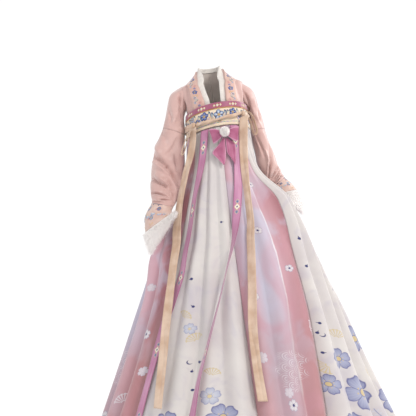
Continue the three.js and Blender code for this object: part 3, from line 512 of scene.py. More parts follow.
class Wire:
    """A number that a shader works out, with the usual signs for sums."""

    def __init__(self, tree, socket):
        self.tree = tree
        self.socket = socket

    def op(self, kind, *others, clamp=False):
        node = self.tree.nodes.new("ShaderNodeMath")
        node.operation = kind
        node.use_clamp = clamp
        for place, value in enumerate((self, *others)):
            put(self.tree, node.inputs[place], value)
        return Wire(self.tree, node.outputs[0])

    def __add__(self, other):
        return self.op("ADD", other)

    def __sub__(self, other):
        return self.op("SUBTRACT", other)

    def __mul__(self, other):
        return self.op("MULTIPLY", other)

    def __truediv__(self, other):
        return self.op("DIVIDE", other)

    def __pow__(self, other):
        return self.op("POWER", other)

    def __neg__(self):
        return self.op("MULTIPLY", -1.0)

    __radd__ = __add__
    __rmul__ = __mul__

    def __rsub__(self, other):
        return (-self) + other

    def abs(self):
        return self.op("ABSOLUTE")

    def sin(self):
        return self.op("SINE")

    def cos(self):
        return self.op("COSINE")

    def most(self, other):
        return self.op("MAXIMUM", other)

    def over(self, edge, blur):
        """0 well under the edge, 1 well over it."""
        node = self.tree.nodes.new("ShaderNodeMapRange")
        node.interpolation_type = "SMOOTHSTEP"
        put(self.tree, node.inputs["Value"], self)
        put(self.tree, node.inputs["From Min"], edge - blur)
        put(self.tree, node.inputs["From Max"], edge + blur)
        return Wire(self.tree, node.outputs["Result"])


def put(tree, socket, value):
    if isinstance(value, Wire):
        value = value.socket
    if isinstance(value, bpy.types.NodeSocket):
        tree.links.new(value, socket)
    else:
        socket.default_value = value


def mixed(tree, share, first, second, kind="MIX"):
    """A colour part of the way from one to another."""
    node = tree.nodes.new("ShaderNodeMix")
    node.data_type = "RGBA"
    node.blend_type = kind
    put(tree, node.inputs["Factor"], share)
    put(tree, node.inputs[6], first)
    put(tree, node.inputs[7], second)
    return node.outputs[2]


def noise(tree, place, scale, detail=3.0, distortion=0.0, shift=(0, 0, 0), stretch=(1, 1, 1)):
    moved = tree.nodes.new("ShaderNodeMapping")
    moved.inputs["Location"].default_value = shift
    moved.inputs["Scale"].default_value = stretch
    put(tree, moved.inputs["Vector"], place)
    node = tree.nodes.new("ShaderNodeTexNoise")
    node.inputs["Scale"].default_value = scale
    node.inputs["Detail"].default_value = detail
    node.inputs["Distortion"].default_value = distortion
    put(tree, node.inputs["Vector"], moved.outputs[0])
    return Wire(tree, node.outputs[0])


def parts_of(tree, vector):
    node = tree.nodes.new("ShaderNodeSeparateXYZ")
    put(tree, node.inputs[0], vector)
    return [Wire(tree, node.outputs[k]) for k in range(3)]


STAMP_INPUTS = (
    ("Cloth", "NodeSocketColor"), ("Place", "NodeSocketVector"), ("X", "NodeSocketFloat"),
    ("Y", "NodeSocketFloat"), ("Size", "NodeSocketFloat"), ("Turn", "NodeSocketFloat"),
    ("Fill", "NodeSocketColor"), ("Line", "NodeSocketColor"), ("Heart", "NodeSocketColor"),
)


def stamp_group(name, draw):
    """A node group that prints one motif over a cloth colour. draw gets x, y in units of the motif's size."""
    tree = bpy.data.node_groups.new(name, "ShaderNodeTree")
    for label, kind in STAMP_INPUTS:
        tree.interface.new_socket(name=label, in_out="INPUT", socket_type=kind)
    tree.interface.new_socket(name="Cloth", in_out="OUTPUT", socket_type="NodeSocketColor")
    source = tree.nodes.new("NodeGroupInput").outputs
    size = Wire(tree, source["Size"])
    turn = Wire(tree, source["Turn"])
    u, v, _ = parts_of(tree, source["Place"])
    u = (u - Wire(tree, source["X"])) / size
    v = (v - Wire(tree, source["Y"])) / size
    x = u * turn.cos() + v * turn.sin()
    y = v * turn.cos() - u * turn.sin()
    colour = draw(tree, x, y, source)
    target = tree.nodes.new("NodeGroupOutput")
    put(tree, target.inputs["Cloth"], colour)
    return tree


def draw_flower(tree, x, y, source):
    """Five notched petals with an outline and veins, round a heart with stamens."""
    r = (x * x + y * y) ** 0.5
    angle = y.op("ARCTAN2", x)
    lobe = (angle * 2.5).cos().abs()
    notch = lobe.over(0.93, 0.07) * 0.09
    edge = lobe ** 0.42 * 0.5 + 0.47 - notch
    inside = (edge - r).over(0.0, 0.03)
    shade = ((r / edge) ** 3) * 0.5 + ((angle * 15).cos() ** 2) * 0.16 * (r / edge)
    colour = mixed(tree, inside * 0.95, source["Cloth"], source["Fill"])
    colour = mixed(tree, inside * shade, colour, source["Line"])
    outline = 1 - (r - edge).abs().over(0.04, 0.025)
    between = (1 - lobe.over(0.09, 0.07)) * inside * r.over(0.2, 0.05)
    colour = mixed(tree, outline.most(between) * 0.85, colour, source["Line"])
    stamens = (angle * 7.5).cos().over(0.55, 0.3) * (1 - (r - 0.34).abs().over(0.035, 0.02))
    heart = 1 - r.over(0.2, 0.03)
    colour = mixed(tree, (1 - (r - 0.22).abs().over(0.03, 0.02)) * 0.8, colour, source["Line"])
    return mixed(tree, heart.most(stamens), colour, source["Heart"])


def draw_fan(tree, x, y, source):
    """A fan of thin rays with rounded ends."""
    r = (x * x + y * y) ** 0.5
    angle = y.op("ARCTAN2", x)
    edge = ((angle * 9).cos().abs() ** 0.5) * 0.1 + 0.88
    spread = 1 - angle.abs().over(1.25, 0.06)
    rays = (angle * 18).cos().over(0.25, 0.3) * r.over(0.3, 0.05) * (1 - (r - edge).over(0, 0.03))
    rim = 1 - (r - edge).abs().over(0.045, 0.02)
    hub = 1 - (r - 0.22).abs().over(0.05, 0.02)
    return mixed(tree, rays.most(rim).most(hub) * spread, source["Cloth"], source["Fill"])


def draw_dot(tree, x, y, source):
    """A dot with a small tail."""
    r = (x * x + y * y) ** 0.5
    tail = ((x - 0.55) * (x - 0.55) * 0.5 + (y * 2.4) * (y * 2.4)) ** 0.5
    inside = (1 - r.over(0.6, 0.12)).most((1 - tail.over(0.5, 0.1)) * 0.8)
    return mixed(tree, inside, source["Cloth"], source["Line"])


def draw_crescent(tree, x, y, source):
    outer = (x * x + y * y) ** 0.5
    bite = ((x - 0.35) * (x - 0.35) + y * y) ** 0.5
    inside = (1 - outer.over(0.85, 0.06)) * bite.over(0.75, 0.06)
    return mixed(tree, inside * 0.9, source["Cloth"], source["Line"])


def draw_scallops(tree, x, y, source):
    """A patch of overlapping scales, each of three arcs."""
    row = (y * 3).op("FLOOR")
    u = (x * 2 + row * 0.5).op("FRACT") - 0.5
    v = (y * 3).op("FRACT")
    r = (u * u * 4 + (v * 0.9) ** 2) ** 0.5
    arcs = ((r * 19).cos()).over(0.45, 0.35) * (1 - r.over(0.98, 0.03))
    patch = 1 - ((x * x * 0.8 + y * y) ** 0.5 + 0.12 * (x * 9).sin()).over(0.82, 0.12)
    return mixed(tree, arcs * patch * 0.75, source["Cloth"], source["Fill"])


def draw_lozenge(tree, x, y, source):
    """A diamond with a gold outline and a small heart."""
    r = x.abs() * 0.95 + y.abs() * 0.86
    colour = mixed(tree, 1 - r.over(0.82, 0.04), source["Cloth"], source["Fill"])
    colour = mixed(tree, 1 - (r - 0.82).abs().over(0.09, 0.03), colour, source["Heart"])
    return mixed(tree, 1 - r.over(0.28, 0.05), colour, source["Line"])


def draw_sprig(tree, x, y, source):
    """A thin stem with small leaves on both sides."""
    bend = (x * 2.2).sin() * 0.12
    stem = (1 - (y - bend).abs().over(0.035, 0.02)) * (1 - x.abs().over(0.92, 0.04))
    step = (x * 3.5).op("FRACT") - 0.5
    aside = (y - bend).abs()
    leaf = ((step * 1.5 - aside * 1.6 + 0.28) ** 2 * 3 + (aside - 0.17) ** 2 * 22) ** 0.5
    leaves = (1 - leaf.over(0.42, 0.08)) * (1 - x.abs().over(0.86, 0.04))
    colour = mixed(tree, leaves * 0.85, source["Cloth"], source["Fill"])
    return mixed(tree, stem, colour, source["Line"])


STAMPS = {name: stamp_group(name, draw) for name, draw in (
    ("flower", draw_flower), ("fan", draw_fan), ("dot", draw_dot), ("crescent", draw_crescent),
    ("scallops", draw_scallops), ("lozenge", draw_lozenge), ("sprig", draw_sprig))}

# Fill, line and heart colours of the prints.
INKS = {
    "blue": (srgb(176, 180, 206), srgb(100, 102, 152), srgb(216, 194, 146)),
    "pale_blue": (srgb(204, 206, 218), srgb(150, 154, 186), srgb(220, 202, 162)),
    "white": (srgb(236, 232, 234), srgb(168, 150, 172), srgb(58, 58, 112)),
    "gold": (srgb(212, 194, 156), srgb(190, 164, 120), srgb(212, 194, 156)),
    "navy": (srgb(60, 62, 120), srgb(52, 54, 110), srgb(60, 62, 120)),
    "pale": (srgb(224, 214, 220), srgb(200, 190, 204), srgb(224, 214, 220)),
    "slate": (srgb(138, 146, 178), srgb(92, 96, 140), srgb(226, 196, 146)),
    "cream": (srgb(244, 236, 226), srgb(86, 74, 104), srgb(222, 186, 130)),
}


def stamped(tree, colour, place, motif, x, y, size, turn, ink):
    """Prints one motif. x, y and size are in metres on the cloth, turn in degrees."""
    node = tree.nodes.new("ShaderNodeGroup")
    node.node_tree = STAMPS[motif]
    put(tree, node.inputs["Cloth"], colour)
    put(tree, node.inputs["Place"], place)
    for label, value in zip(("X", "Y", "Size", "Turn"), (x, y, size, math.radians(turn))):
        node.inputs[label].default_value = value
    for label, value in zip(("Fill", "Line", "Heart"), INKS[ink]):
        node.inputs[label].default_value = value
    return node.outputs[0]


def material(name, paint, roughness=0.7, sheen=0.3, weave=(1400, 1400), bump=0.15, metal=0.0,
             sheen_roughness=0.5, anisotropic=0.0, crinkle=0.0):
    """A cloth. paint(tree, uv, place) gives its colour; weave is its threads per metre each way."""
    made = bpy.data.materials.new(name)
    made.use_nodes = True
    tree = made.node_tree
    shader = tree.nodes["Principled BSDF"]
    source = tree.nodes.new("ShaderNodeTexCoord")
    uv, place = source.outputs["UV"], source.outputs["Object"]
    put(tree, shader.inputs["Base Color"], paint(tree, uv, place))
    shader.inputs["Roughness"].default_value = roughness
    shader.inputs["Sheen Weight"].default_value = sheen
    shader.inputs["Sheen Roughness"].default_value = sheen_roughness
    shader.inputs["Metallic"].default_value = metal
    shader.inputs["Anisotropic"].default_value = anisotropic
    shader.inputs["Specular IOR Level"].default_value = 0.35
    u, v, _ = parts_of(tree, uv)
    threads = (u * (weave[0] * TURN)).sin() + (v * (weave[1] * TURN)).sin()
    relief = threads * 0.00004
    if crinkle:
        relief = relief + noise(tree, place, 90, 4.0, 0.3) * crinkle
    node = tree.nodes.new("ShaderNodeBump")
    node.inputs["Strength"].default_value = bump
    node.inputs["Distance"].default_value = 1.0
    put(tree, node.inputs["Height"], relief)
    tree.links.new(node.outputs[0], shader.inputs["Normal"])
    return made


def plain(colour, other=None, scale=14, share=0.5):
    """A colour with a soft cloud of a second one."""
    def paint(tree, uv, place):
        if other is None:
            return mixed(tree, 0.0, srgb(*colour), srgb(*colour))
        return mixed(tree, noise(tree, place, scale).over(share, 0.25), srgb(*colour), srgb(*other))
    return paint


def brocade(tree, uv, place):
    """Dusty pink in soft random patches of a deeper pink, with a tone-on-tone pattern of small blossoms."""
    base = mixed(tree, noise(tree, place, 9, 2).over(0.5, 0.3), srgb(223, 187, 180), srgb(210, 169, 162))
    cells = tree.nodes.new("ShaderNodeTexVoronoi")
    cells.inputs["Scale"].default_value = 34
    put(tree, cells.inputs["Vector"], place)
    bud = 1 - Wire(tree, cells.outputs["Distance"]).over(0.26, 0.12)
    return mixed(tree, bud * 0.26, base, srgb(236, 208, 202))


def skirt_paint(ground, motifs):
    def paint(tree, uv, place):
        colour = ground(tree, uv, place)
        for motif in motifs:
            colour = stamped(tree, colour, uv, *motif)
        return colour
    return paint


def ivory_ground(tree, uv, place):
    clouds = noise(tree, place, 5, 3, 0.6)
    colour = mixed(tree, clouds.over(0.5, 0.2), srgb(224, 218, 214), srgb(211, 203, 203))
    return mixed(tree, noise(tree, place, 11, 2, 1.0, (3, 1, 2)).over(0.6, 0.12) * 0.5, colour,
                 srgb(198, 190, 202))


def ramp(tree, value, stops):
    """A colour that runs through stops, each a place from 0 to 1 and a colour."""
    node = tree.nodes.new("ShaderNodeValToRGB")
    points = node.color_ramp.elements
    points.remove(points[1])
    points[0].position = stops[0][0]
    points[0].color = srgb(*stops[0][1])
    for at, colour in stops[1:]:
        points.new(at).color = srgb(*colour)
    put(tree, node.inputs[0], value)
    return node.outputs[0]


def watercolour(stops):
    """Washes that run down a panel: stops across it above, dusty rose towards the hem."""
    def ground(tree, uv, place):
        u, v, _ = parts_of(tree, uv)
        drift = noise(tree, place, 3.2, 3, 0.8, stretch=(1, 1, 0.45)) - 0.5
        patch = noise(tree, place, 9, 3, 0.7, (5, 2, 7), (1, 1, 0.6)) - 0.5
        width = WIDTH_TOP + (-v - WIDTH_FROM) * WIDTH_GAIN
        across = u / width + 0.5
        colour = ramp(tree, across + drift * 0.22 + patch * 0.1, stops)
        height = -v + drift * 0.7 + patch * 0.25
        colour = mixed(tree, height.over(1.0, 0.3) * 0.8, colour, srgb(186, 134, 133))
        wash = (patch + 0.5).over(0.56, 0.08) * (1 - height.over(1.05, 0.3))
        colour = mixed(tree, wash * 0.5, colour, srgb(202, 200, 218))
        blush = noise(tree, place, 6, 3, 1.0, (1, 8, 3), (1, 1, 0.5)).over(0.6, 0.1)
        return mixed(tree, blush * 0.5, colour, srgb(204, 148, 160))
    return ground


# How wide a panel is at a height, in metres, and how its colours run from the wearer's right to the left. The
# middle panels' stops also hold a fold's painted highlight and painted shade.
WIDTH_TOP, WIDTH_FROM, WIDTH_GAIN = 0.095, 0.202, 0.267
# Painted highlight: the near-white stops from 0.615 to 0.63 stand for a fold's lit edge. Painted shade: the
# deep rose stops at 0.8 and 0.92 stand for the fold's shaded side.
ROSE_MIDDLE_WITH_PAINTED_FOLD_LIGHT = watercolour([
    (0.0, (196, 148, 158)), (0.16, (216, 180, 192)), (0.34, (198, 196, 214)), (0.56, (206, 192, 208)),
    (0.6, (206, 192, 208)), (0.615, (238, 234, 240)), (0.63, (238, 234, 240)), (0.645, (210, 166, 176)),
    (0.8, (193, 140, 148)), (0.92, (166, 108, 116)),
    (1.0, (204, 164, 168))])
ROSE_EDGE = watercolour([
    (0.0, (214, 192, 206)), (0.22, (200, 194, 214)), (0.48, (216, 178, 190)), (0.72, (204, 150, 160)),
    (0.88, (172, 112, 120)), (1.0, (206, 166, 172))])


def let_light_through(made, share, colour):
    """Mixes some see-through scatter into a cloth, as light that comes through fine white hairs."""
    tree = made.node_tree
    glow = tree.nodes.new("ShaderNodeBsdfTranslucent")
    glow.inputs["Color"].default_value = colour
    both = tree.nodes.new("ShaderNodeMixShader")
    both.inputs[0].default_value = share
    tree.links.new(tree.nodes["Principled BSDF"].outputs[0], both.inputs[1])
    tree.links.new(glow.outputs[0], both.inputs[2])
    tree.links.new(both.outputs[0], tree.nodes["Material Output"].inputs["Surface"])
    return made


FUR_LIGHT = (0.97, 0.95, 0.94, 1)
FUR_WHITE = let_light_through(
    material("fur", lambda tree, uv, place: mixed(tree, 0.0, FUR_LIGHT, FUR_LIGHT), 0.9, 0.6, bump=0.0),
    0.45, FUR_LIGHT)
PLUSH = material("plush", plain((240, 234, 226), (228, 220, 214), 60), 0.9, 0.6, (700, 700), 0.5,
                 crinkle=0.0006)
JACKET = material("jacket", brocade, 0.46, 0.5, (1100, 1100), 0.3, crinkle=0.0002)
LINING = material("lining", plain((236, 226, 218), (228, 214, 206), 20), 0.7, 0.3, (1200, 1200), 0.2)
CUFF = material("cuff", plain((214, 178, 166), (226, 198, 186), 40), 0.5, 0.4, (1100, 1100), 0.3)
COLLAR_SATIN = material("collar", plain((216, 172, 160), (226, 188, 174), 25), 0.45, 0.4, (1300, 1300), 0.25)
MAUVE = material("mauve", plain((178, 100, 130), (160, 82, 112), 18), 0.42, 0.5, (1500, 1500), 0.25,
                 crinkle=0.0002)
CREAM = material("cream", plain((246, 228, 202), (236, 214, 188), 22), 0.6, 0.35, (1200, 1200), 0.3)
PIPING = material("piping", plain((222, 172, 102), (196, 142, 84), 60), 0.35, 0.1, (900, 900), 0.6, metal=0.5)
TAN = material("tan", plain((231, 203, 180), (208, 172, 144), 24), 0.45, 0.5, (1500, 1500), 0.25,
               crinkle=0.0003)
THREADS = {name: material(f"thread_{name}", plain(colour), 0.4, 0.3, (2500, 300), 0.8) for name, colour in {
    "blue": (92, 112, 176), "navy": (52, 60, 118), "mist": (164, 182, 212), "gold": (218, 176, 104),
    "white": (240, 236, 230), "green": (168, 196, 184), "lilac": (176, 160, 206), "rose": (206, 132, 140),
}.items()}

# ---------------------------------------------------------------- dressing the frame


def wear(piece, slot, *nodes):
    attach(piece, "root")
    if nodes:
        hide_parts(*nodes)
    return piece


def sheet(piece, with_pieces=()):
    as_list(with_pieces)
    return piece


def wall(name, outer, thickness, made_of, uv, flip=False, lining=None):
    """A cloth wall behind a grid; flip suits a grid whose columns run to the wearer's right."""
    inner = outer + normals(outer) * (thickness if flip else -thickness)
    return shell(name, outer, inner, made_of, uv=uv, lining=lining)


def flat_uv(across, along):
    """A uv grid in metres from two arrays of millimetres, with one more column for the seam of a tube."""
    return np.stack(np.broadcast_arrays(across, along), -1) * MM


def widened(angles):
    return np.append(angles, angles[0] + TURN)


def remove(piece):
    bpy.data.objects.remove(piece)


def cut(piece, tool, operation):
    modifier = piece.modifiers.new("cut", "BOOLEAN")
    modifier.operation = operation
    modifier.solver = "MANIFOLD"
    modifier.object = tool
    seen = piece.evaluated_get(bpy.context.evaluated_depsgraph_get())
    mesh = bpy.data.meshes.new_from_object(seen)
    piece.modifiers.clear()
    piece.data = mesh


# Creases of the sleeves: place and degrees at both ends, depth (negative goes in) and width.
SLEEVE_CREASES = {
    "right": [
        (4.5, -160, 5.0, -93, -9, 9), (5.0, -93, 5.95, -39, -8, 8), (4.8, -150, 5.3, -85, 5, 11),
        (5.7, -175, 6.0, -115, -8, 8), (6.0, -115, 6.4, -70, -7, 8), (5.5, -130, 6.0, -80, 5, 10),
        (5.67, -90, 6.4, -57, -6, 7), (6.4, -57, 7.4, -27, -7, 8), (6.85, -165, 6.95, -70, -8, 7),
        (6.4, -92, 7.3, -33, -5, 6), (7.55, -115, 7.3, -50, -5, 6), (3.3, -150, 3.9, -90, -4, 12),
        (3.4, -60, 4.3, -95, -4, 10), (3.9, -170, 4.4, -110, 4, 13), (4.2, -60, 5.1, -50, -4, 9),
        (4.5, 150, 5.4, 95, -7, 10), (5.3, 60, 6.2, 120, -8, 9), (6.3, 150, 6.6, 70, -8, 8),
        (5.8, 20, 6.8, 60, -7, 8), (7.0, 120, 7.5, 50, -6, 7), (3.6, 120, 4.2, 60, -4, 12),
        (5.2, 0, 6.1, 25, -6, 8), (6.6, -10, 7.4, 15, -5, 6), (7.8, -150, 7.6, -80, 4, 7),
    ],
    "left": [
        (4.2, -83, 5.0, -92, 5, 7), (5.0, -92, 5.9, -130, 5, 6), (4.9, -84, 6.0, -126, -8, 6),
        (3.4, -120, 4.4, -100, -5, 10), (4.4, -60, 5.4, -95, -6, 8), (5.7, -60, 6.3, -110, -6, 7),
        (6.1, -40, 6.7, -100, -6, 6), (6.6, -50, 7.2, -120, -6, 6), (7.1, -40, 7.6, -120, -6, 6),
        (3.6, -30, 4.6, -60, -5, 9), (5.0, -20, 5.8, -50, -6, 8), (5.4, 30, 6.2, 80, -7, 8),
        (6.2, 20, 6.9, 90, -6, 7), (4.2, 60, 5.2, 110, -6, 9), (3.5, 120, 4.3, 70, -4, 11),
        (6.8, 130, 7.4, 60, -6, 7), (5.2, 170, 6.0, 120, -6, 8), (6.1, 160, 6.9, 200, -5, 7),
        (3.3, -150, 4.2, -140, -4, 10), (7.3, -90, 7.6, -30, 5, 6),
    ],
}
ARM_CREASES = {
    "right": [(0.6, -110, 1.8, -60, -6, 9), (1.7, -60, 2.6, -30, -5, 8), (1.9, -140, 2.7, -100, -4, 12),
              (1.2, 110, 2.2, 60, -5, 10), (2.2, -80, 2.9, -120, 3, 12)],
    "left": [(0.6, -80, 1.8, -130, -6, 9), (1.6, -140, 2.7, -170, -5, 8), (1.8, -40, 2.7, -70, -4, 11),
             (1.2, 60, 2.2, 120, -5, 10), (2.2, -100, 2.9, -60, 3, 12)],
}
ROUND = 50.0  # millimetres for each radian round a sleeve
ALONG = 62.0  # millimetres for each place along a sleeve
BODY_ROUND = 110.0
# How much fuller the right sleeve is on its inner side, where it lies against the wearer's side.
SIDE_FULL = table("place full", [(0, 0), (2, 2), (3, 8), (5, 9), (6.5, 11), (7.5, 11), (8.5, 5), (9.5, 0)])
CREASE_DEEP = 2.3
CREASE_WIDE = 0.85
# Creases of the jacket's body: degrees from the front and level at both ends, depth and width.
BODY_CREASES = [
    (52, 20, 60, -90, -5, 8), (64, -10, 70, -100, 4, 9), (30, -40, 48, -95, -3, 9),
    (130, 10, 118, -100, -4, 10), (150, 0, 160, -110, -3, 12), (70, -40, 84, -90, -5, 9),
]


def creased(lines, angle, along, across_scale, along_scale):
    scaled = [(math.radians(a0) * across_scale, p0 * along_scale, math.radians(a1) * across_scale,
               p1 * along_scale, deep * CREASE_DEEP, wide * CREASE_WIDE)
              for p0, a0, p1, a1, deep, wide in lines]
    u = (np.mod(angle + math.pi, TURN) - math.pi) * across_scale
    v = along * along_scale
    lap = TURN * across_scale
    return sum(troughs(scaled, u + turn * lap, v) for turn in (-1, 0, 1))


def sleeve_skin(side, place, angle, out=0):
    creases = np.where(place < EXTENSION, creased(ARM_CREASES[side], angle, place, ROUND, ALONG),
                       creased(SLEEVE_CREASES[side], angle, place, ROUND, ALONG))
    calm = np.clip((BORDER + 0.3 - place) / 0.6, 0, 1) * np.clip(np.abs(place - EXTENSION) / 0.25, 0.25, 1)
    soft = 1.4 * np.sin(3 * angle + 2.1 * place) * np.sin(1.7 * place) + 0.8 * np.sin(5 * angle - 3.7 * place)
    fuller = column(SIDE_FULL, "full", place) * np.maximum(np.cos(angle), 0) ** 2
    full = fuller if side == "right" else 0
    return sleeve_point(side, place, angle, out + (creases + soft) * calm + full)


EDGE = {"level": COLLAR["level"][:COLLAR_BACK + 1], "angle": COLLAR["angle"][:COLLAR_BACK + 1]}
BODY_LEVELS = np.concatenate([np.linspace(60, -150, 60), np.linspace(-160, HEM_LEVEL, 24)])
FINE = 1.0


def body_skin(sign, angle, level, out=0):
    degrees = [(p0, a0, p1, a1, deep, wide) for a0, p0, a1, p1, deep, wide in BODY_CREASES]
    scaled = [(math.radians(a0) * BODY_ROUND, p0, math.radians(a1) * BODY_ROUND, p1, deep, wide)
              for p0, a0, p1, a1, deep, wide in degrees]
    return body_point(sign * angle, level, out + troughs(scaled, angle * BODY_ROUND, level))


def tool(name, rings, slot):
    """A closed solid that cuts or joins the jacket. Its faces bring the cloth (0) or the lining (1)."""
    points, faces = lid(rings)
    return mesh_object(name, points, faces, [JACKET, LINING], slots=np.full(len(faces), slot))


def jacket_body(side):
    sign = -1 if side == "right" else 1
    levels, share = grid(BODY_LEVELS, np.linspace(0, 1, int(60 * FINE)))
    front = np.radians(column(EDGE, "angle", levels))
    back = math.pi - SEAM_GAP / column(BODY_RINGS, "half", levels)
    angle = front + (back - front) * share
    outer = body_skin(sign, angle, levels)
    uv = flat_uv(angle * BODY_ROUND, levels)
    piece = wall(f"jacket_body_{side}_cloth", outer, PADDED, JACKET, uv, flip=side == "right", lining=LINING)
    level, around = grid(BODY_LEVELS, np.linspace(0, TURN, int(120 * FINE), endpoint=False))
    hollow = tool("hollow", body_point(around, level, -PADDED / 2), 1)
    place, around = grid(np.linspace(SHOULDER, EXTENSION - SLEEVE_GAP, int(48 * FINE)),
                         np.linspace(0, TURN, int(110 * FINE), endpoint=False))
    arm = tool("arm", sleeve_skin(side, place, around), 0)
    past = place * (EXTENSION + 0.3) / EXTENSION
    arm_hollow = tool("arm_hollow", sleeve_skin(side, np.minimum(past, EXTENSION + 0.29), around, -PADDED), 1)
    cut(piece, arm_hollow, "DIFFERENCE")
    cut(arm, arm_hollow, "DIFFERENCE")
    cut(arm, hollow, "DIFFERENCE")
    cut(piece, arm, "UNION")
    for used in (hollow, arm, arm_hollow):
        remove(used)
    piece.data.polygons.foreach_set("use_smooth", np.ones(len(piece.data.polygons), bool))
    return wear(piece, "jacket_padding", f"jacket_body_{side}")


def sleeve_tube(side, name, first, last, rows, out, made_of, slot, node, with_pieces=()):
    place, around = grid(np.linspace(first + SLEEVE_GAP, last - SLEEVE_GAP, max(int(rows * FINE), 4)),
                         np.linspace(0, TURN, int(104 * FINE), endpoint=False))
    outer = sleeve_skin(side, place, around, out)
    inner = sleeve_skin(side, place, around, out - PADDED)
    uv = flat_uv(widened(around[0])[None] * ROUND, place[:, :1] * ALONG)
    piece = shell(name, outer, inner, made_of, looped=True, uv=uv, lining=LINING if node else None)
    wear(piece, slot, *([node] if node else []))
    return sheet(piece, with_pieces)


def strands(name, roots, ways, lengths, thick, made_of, seed):
    """Many thin tapered hairs as one mesh."""
    rng = np.random.default_rng(seed)
    ways = unit(ways)
    curl = unit(rng.normal(size=roots.shape)) * 0.35
    side = unit(np.cross(ways, rng.normal(size=roots.shape))) * thick / 2
    length = lengths[:, None]
    rings = []
    for share, width in ((0, 1), (0.4, 0.8), (0.75, 0.5)):
        middle = roots + length * (share * ways + share ** 2 * curl)
        rings += [middle - side * width, middle + side * width]
    rings.append(roots + length * (ways + curl))
    points = np.stack(rings, 1).reshape(-1, 3)
    base = np.arange(len(roots))[:, None] * 7
    faces = np.concatenate([base + [0, 1, 3, 2], base + [2, 3, 5, 4]]).tolist() + (base + [4, 5, 6]).tolist()
    return mesh_object(name, points, faces, [made_of])


FUR_HAIRS = 13000
HAIR_THICK = 0.7


def cuff_fur(side):
    """The white fur trim: a plush tube with hairs that lie towards its mouth, and more round the rim."""
    rng = np.random.default_rng(11 if side == "right" else 12)
    count = int(FUR_HAIRS * FINE)
    rim = np.arange(count) < count * 0.22
    inside = np.arange(count) > count * 0.86
    place = np.where(rim, SLEEVE_END - 0.03, rng.uniform(FUR + 0.02, SLEEVE_END - 0.02, count))
    place = np.where(inside, rng.uniform(SLEEVE_END - 0.35, SLEEVE_END - 0.02, count), place)
    angle = rng.uniform(0, TURN, count)
    depth = np.where(rim, rng.uniform(-PADDED, 2, count), np.where(inside, -PADDED, 2.0))
    roots = sleeve_point(side, place, angle, depth)
    outward = sleeve_point(side, place, angle, depth + 1) - roots
    along = unit(roots - sleeve_point(side, place - 0.05, angle, depth))
    ways = np.where(inside[:, None], -0.5, 1.0) * outward * np.where(rim, 0.25, 0.75)[:, None]
    ways = ways + along * np.where(rim, 0.9, 0.35)[:, None] + rng.normal(0, 0.3, roots.shape)
    lengths = rng.uniform(8, 16, count) * np.where(inside, 0.5, 1)
    hairs = strands(f"cuff_fur_{side}_hairs", roots, ways, lengths, HAIR_THICK, FUR_WHITE, 21)
    wear(hairs, "fur", f"cuff_fur_{side}")
    return sleeve_tube(side, f"cuff_fur_{side}_cloth", FUR, SLEEVE_END, 16, 2.0, FUR_WHITE, "fur", None,
                       [hairs])


def collar_places(count):
    return np.linspace(0, COLLAR_BACK + 2, count)


def collar_line(side, places, share, from_edge, to_edge, out):
    """Points between two of the collar's lines. share is 0 on the first line and 1 on the second."""
    sign = -1 if side == "right" else 1
    lines = [[column(COLLAR, f"{edge}{what}", places) for what in ("level", "angle")]
             for edge in (from_edge, to_edge)]
    level = lines[0][0] + (lines[1][0] - lines[0][0]) * share
    angle = lines[0][1] + (lines[1][1] - lines[0][1]) * share
    return body_point(sign * np.radians(angle), level, out)


def both_sides(points_of, places):
    return np.concatenate([points_of("right", places), points_of("left", places[::-1])[1:]])


def collar_band(with_pieces):
    places, share = grid(collar_places(int(120 * FINE)), np.linspace(0, 1, 9))

    def points_of(side, at):
        out = COLLAR_CLEAR + COLLAR_CLOTH + 1.1 * np.sin(math.pi * share) ** 0.6
        return collar_line(side, at, share, "out_", "", out)

    outer = both_sides(points_of, places)
    along = np.cumsum(np.r_[0, np.linalg.norm(np.diff(outer[:, 4], axis=0), axis=1)])[:, None]
    uv = flat_uv(share[0][None] * 36, along)
    piece = wall("collar_band_cloth", outer, COLLAR_CLOTH, COLLAR_SATIN, uv, flip=True)
    sheet(piece, with_pieces)
    return wear(piece, "collar_embroidery", "collar_band")


def collar_liner():
    places, share = grid(collar_places(int(120 * FINE)), np.linspace(0, 1, 9))

    def points_of(side, at):
        out = -PADDED - LINER_CLEAR + 0.8 * np.sin(math.pi * share)
        tuck = collar_line(side, at, -0.45, "", "in_", out)
        return tuck + (collar_line(side, at, share, "", "in_", out) - tuck) * share[..., None]

    outer = both_sides(points_of, places)
    uv = flat_uv(share[0][None] * 30, np.arange(len(outer))[:, None] * 6)
    piece = wall("collar_liner_cloth", outer, LINER_PILE, PLUSH, uv, flip=True)
    sheet(piece)
    return wear(piece, "liner_plush", "collar_liner")


BAND_STRIPS = (
    ("band_top_strip", 22, 0, MAUVE, "mauve_satin", 8),
    ("band_piping", 3, 1.2, PIPING, "gold_piping", 6),
    ("band_main_strip", 54, 0, CREAM, "cream_band", 16),
    ("band_lower_strip", 11, 0.6, CREAM, "cream_plain", 5),
)


def band_skin(angle, below, out=0):
    pucker = 0.5 * np.sin(23 * angle + 0.05 * below) * np.sin(0.09 * below) + 0.4 * np.sin(9 * angle + 1)
    return band_point(angle, below, out + pucker)


def band(embroidery):
    top = 0.0
    strips, cuts = {}, {}
    for name, height, proud, made_of, slot, rows in BAND_STRIPS:
        edge = math.pi - SEAM_GAP / BAND_DEPTH
        share, angle = grid(np.linspace(0, 1, rows), np.linspace(-edge, edge, int(260 * FINE)))
        below = top + SEAM_GAP / 2 + share * (height - SEAM_GAP)
        round_out = proud + (0.9 * np.sin(math.pi * share) ** 0.5 if height < 15 else 0.0)
        outer = band_skin(angle, below, round_out)
        inner = band_skin(angle, below, proud - BAND_CLOTH)
        uv = flat_uv(angle * BAND_HALF, -below)
        strips[name] = wear(shell(f"{name}_cloth", outer, inner, made_of, uv=uv), slot, name)
        cuts[name] = outer
        top += height
    trims = {"band_top_strip": [strips["band_piping"]], "band_main_strip": [embroidery]}
    for name, outer in cuts.items():
        if name != "band_piping":
            sheet(strips[name],
                  trims.get(name, ()))


